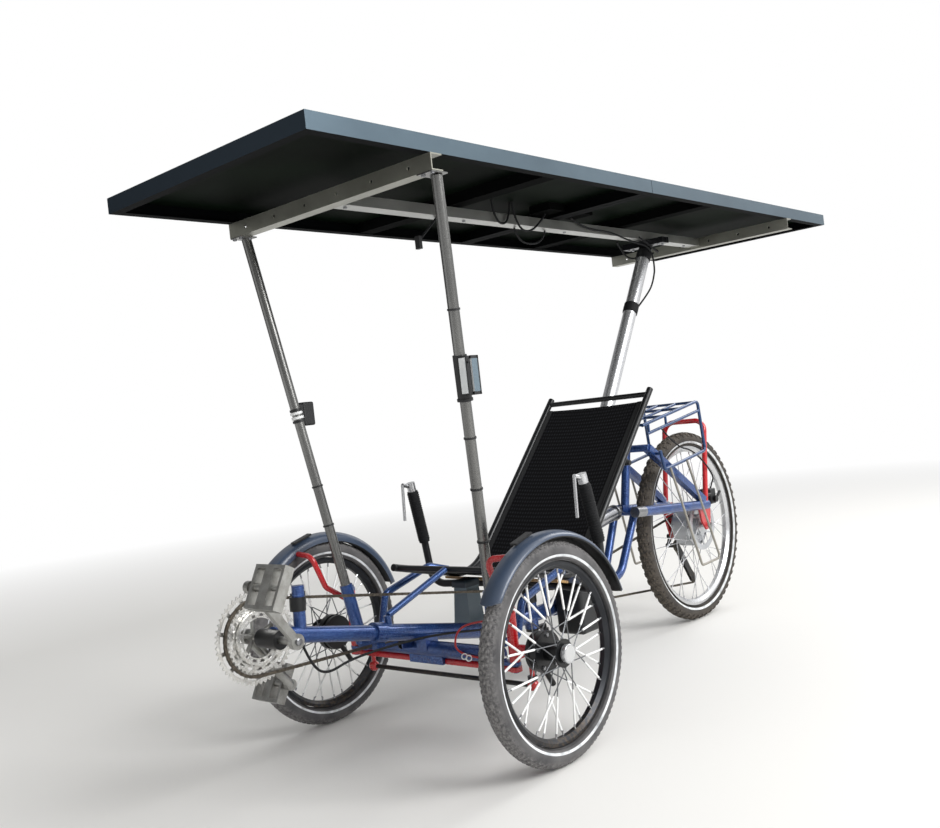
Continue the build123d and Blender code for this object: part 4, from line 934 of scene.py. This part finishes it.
for side, sign in sides.items():
    label, wheel, hub = side.capitalize(), side + "_wheel", frontAxle[side]
    addFittings("hubCap" + label, "cap", [outAlong(hub, sign, "capOut")], wheel)
    addFittings("drumBolts" + label, "bolt",
                roundAxle(hub, 5, sign * spotValues["drumOut"], spotValues["drumRadius"], outward * sign), wheel)
    addFittings("nipples" + label, "nipple", inRim(hub, spotValues["frontNipples"], spotValues["frontRim"], sign),
                wheel)
    addFittings("kingpinNut" + label, "nut", [(at(sign * spotValues["kingpinOut"], 0, 386), upward)])
addFittings("ballBoots", "boot", [(at(sign * spotValues["kingpinOut"], 57, 150.5), upward) for sign in (1, -1)],
            "steering_rod")
addFittings("nipplesRear", "nipple", inRim(rearAxle, spotValues["rearNipples"], spotValues["rearRim"], 1),
            "back_wheel")
motorBolts = []
for sign in (1, -1):
    motorBolts += roundAxle(rearAxle, 10, sign * spotValues["motorOut"], spotValues["motorRadius"], outward * sign,
                            0.5)
addFittings("motorBolts", "bolt", motorBolts, "back_wheel")
addFittings("axleNuts", "nut", [outAlong(rearAxle, sign, "axleOut") for sign in (1, -1)], "back_wheel")
addFittings("ringBolts", "bolt", roundAxle(at(-60, *crankAxis), 5, 0, spotValues["ringRadius"], -outward),
            "crankset", 12)
addFittings("crankBolts", "nut", [outAlong(at(0, *crankAxis), sign, "crankOut") for sign in (1, -1)], "crankset", 16)
headSpots = [(sign * x, y, 1341) for sign in (1, -1) for x, y in ((335, -190), (363, -190), (335, -162))]
addFittings("mastHeadBolts", "bolt", [(at(*spot), -upward) for spot in headSpots])
spineSpots = [(0, y, 1352) for y in (-120, 320, 640, 800, 1180, 1560)]
spineSpots += [(x, y, 1332) for y in (1270, 1300) for x in (-60, 60)]
addFittings("spineBolts", "bolt", [(at(*spot), -upward) for spot in spineSpots])
addFittings("mastBandsWhite", "band", [onTube("mast", -1, z) for z in (855, 867)])
tieSpots = ((1, 516), (1, 640), (1, 759), (1, 1050), (-1, 667), (-1, 560))
addFittings("mastTies", "tie", [onTube("mast", sign, z) for sign, z in tieSpots])
addFittings("cableTies", "loop", [(at(154, -38, 234), Vector((0.4, -0.7, 0.5))),
                                  (at(168, -38, 231), Vector((0.7, -0.5, 0.3)))])
addFittings("mastWraps", "wrap", [onTube("rearMast", 1, z) for z in (1298, 1110)])
ribSpots = [onTube("grip", sign, 456 + 140.8 * k / 21) for sign in (1, -1) for k in range(22)]
addFittings("gripRibs", "rib", ribSpots, "steering_bar")
for name, low, high in (("strapBuckle", (-8, 122, 1262), (8, 133, 1296)),
                        ("bezelRear", (346, -99, 855), (350.6, -94, 943)),
                        ("bezelTop", (346, -119, 936), (350.6, -94, 943)),
                        ("bezelFoot", (346, -119, 855), (350.6, -94, 862)),
                        ("bezelFront", (343.2, -130.6, 855), (346, -124, 943)),
                        ("bezelMiddle", (321, -130.4, 926), (346, -124, 930))):
    addBox(name, at(*low), at(*high), "mouldedBlack", "chassis", "mould_black")
for side, sign in sides.items():
    for number, (inner, outer) in enumerate(((70, 73.6), (60, 62), (50, 52))):
        foot, top = sign * 27, sign * 29.6  # the ridge's foot lies inside the motor's shell
        profile = ((foot, inner), (top, inner + 0.6), (top, outer - 0.6), (foot, outer))
        ridge = lathe("motorRidge%d%s" % (number, side.capitalize()), [(x / 1000, r / 1000) for x, r in profile],
                      rearAxle, paints["brightAlloy"], 72)
        fit(ridge, "back_wheel", "silver_alloy")
print("fittings done")


# Floor, light and camera
def makeFloor():
    values = {"half": 14.0, "colour": "#e9e8e5", "roughness": 0.9, "specular": 0.1, "fadeFrom": 2.6, "fadeTo": 6.5}
    half = values["half"]
    material, add, shader, place = startMaterial("paleFloor", values)
    distance = add("VectorMath", {0: place}, operation="LENGTH")["Value"]
    fade = add("MapRange", {0: distance, 1: values["fadeFrom"], 2: values["fadeTo"]})[0]
    white = add("Emission", {"Color": (1, 1, 1, 1), "Strength": 1.0})[0]
    mix = add("MixShader", {0: fade, 1: shader.outputs[0], 2: white})[0]
    feed(material.node_tree.nodes["Material Output"], {0: mix})
    corners = [(-half, -half, 0), (half, -half, 0), (half, half, 0), (-half, half, 0)]
    addMesh("floor", corners, [(0, 1, 2, 3)], [material])


def makeWorld():  # white to the camera and in reflections, and for light a sky that is brighter on one side
    values = {"strength": 0.74, "side": (0.66, 0.75, 0), "dark": 0.14, "bright": 1.5, "low": 0.42, "high": 1.15}
    world = bpy.data.worlds.new("studio")
    bpy.context.scene.world = world
    world.use_nodes = True
    add = adder(world.node_tree)
    rays = add("LightPath")
    seen = add("Math", {0: rays["Is Camera Ray"], 1: rays["Is Glossy Ray"]}, operation="MAXIMUM")[0]
    seen = add("Math", {0: seen, 1: rays["Is Transmission Ray"]}, operation="MAXIMUM")[0]
    level = add("MapRange", {0: seen, 3: values["strength"], 4: 1.0})[0]
    way = add("TexCoord")["Generated"]
    height = add("SeparateXYZ", {0: way})["Z"]
    aside = add("VectorMath", {0: way, 1: values["side"]}, operation="DOT_PRODUCT")["Value"]
    softSide = add("MapRange", {0: aside, 1: -0.7, 2: 0.8, 3: values["dark"], 4: values["bright"]})[0]
    sky = add("MapRange", {0: height, 1: 0.0, 2: 0.7, 3: values["low"], 4: values["high"]})[0]
    sky = add("Math", {0: sky, 1: softSide}, operation="MULTIPLY")[0]
    dim = add("Math", {0: level, 1: sky}, operation="MULTIPLY")[0]
    shown = add("Mix", {"Factor": rays["Is Camera Ray"], "A": dim, "B": 1.0})[0]
    background = world.node_tree.nodes["Background"]
    background.inputs["Color"].default_value = (1, 1, 1, 1)
    feed(background, {"Strength": shown})


def addLamp(name, place, target, size, power):
    light = bpy.data.lights.new(name, "AREA")
    light.shape = "SQUARE"
    light.size = size
    light.energy = power
    lamp = addPiece(name, light)
    lamp.location = place
    lamp.rotation_euler = (Vector(target) - Vector(place)).to_track_quat("-Z", "Y").to_euler()


def makeCamera():
    values = {"place": (1.7834, -2.4575, 0.8090), "azimuth": 41.37, "elevation": -0.11, "roll": -6.39, "lens": 37.73}
    a, e, r = (math.radians(values[key]) for key in ("azimuth", "elevation", "roll"))
    back = Vector((math.sin(a) * math.cos(e), -math.cos(a) * math.cos(e), math.sin(e)))
    right = (-back).cross(upward).normalized()
    up = right.cross(-back)
    rows = (right * math.cos(r) + up * math.sin(r), up * math.cos(r) - right * math.sin(r), back)
    data = bpy.data.cameras.new("camera")
    data.sensor_width = 36
    data.lens = values["lens"]
    camera = addPiece("camera", data)
    camera.matrix_world = Matrix.Translation(values["place"]) @ Matrix(rows).transposed().to_4x4()
    bpy.context.scene.camera = camera


makeFloor()
makeWorld()
addLamp("key", (4.6, 0.2, 3.2), (0, 0, 0.7), 2.8, 230)
addLamp("fill", (-1.6, -4.0, 1.6), (0, 0, 0.4), 3.0, 16)
addLamp("back", (0.6, 3.8, 3.4), (0, 0.4, 0.8), 2.4, 80)
makeCamera()
bpy.context.scene.view_settings.view_transform = "Standard"
print("stage done")
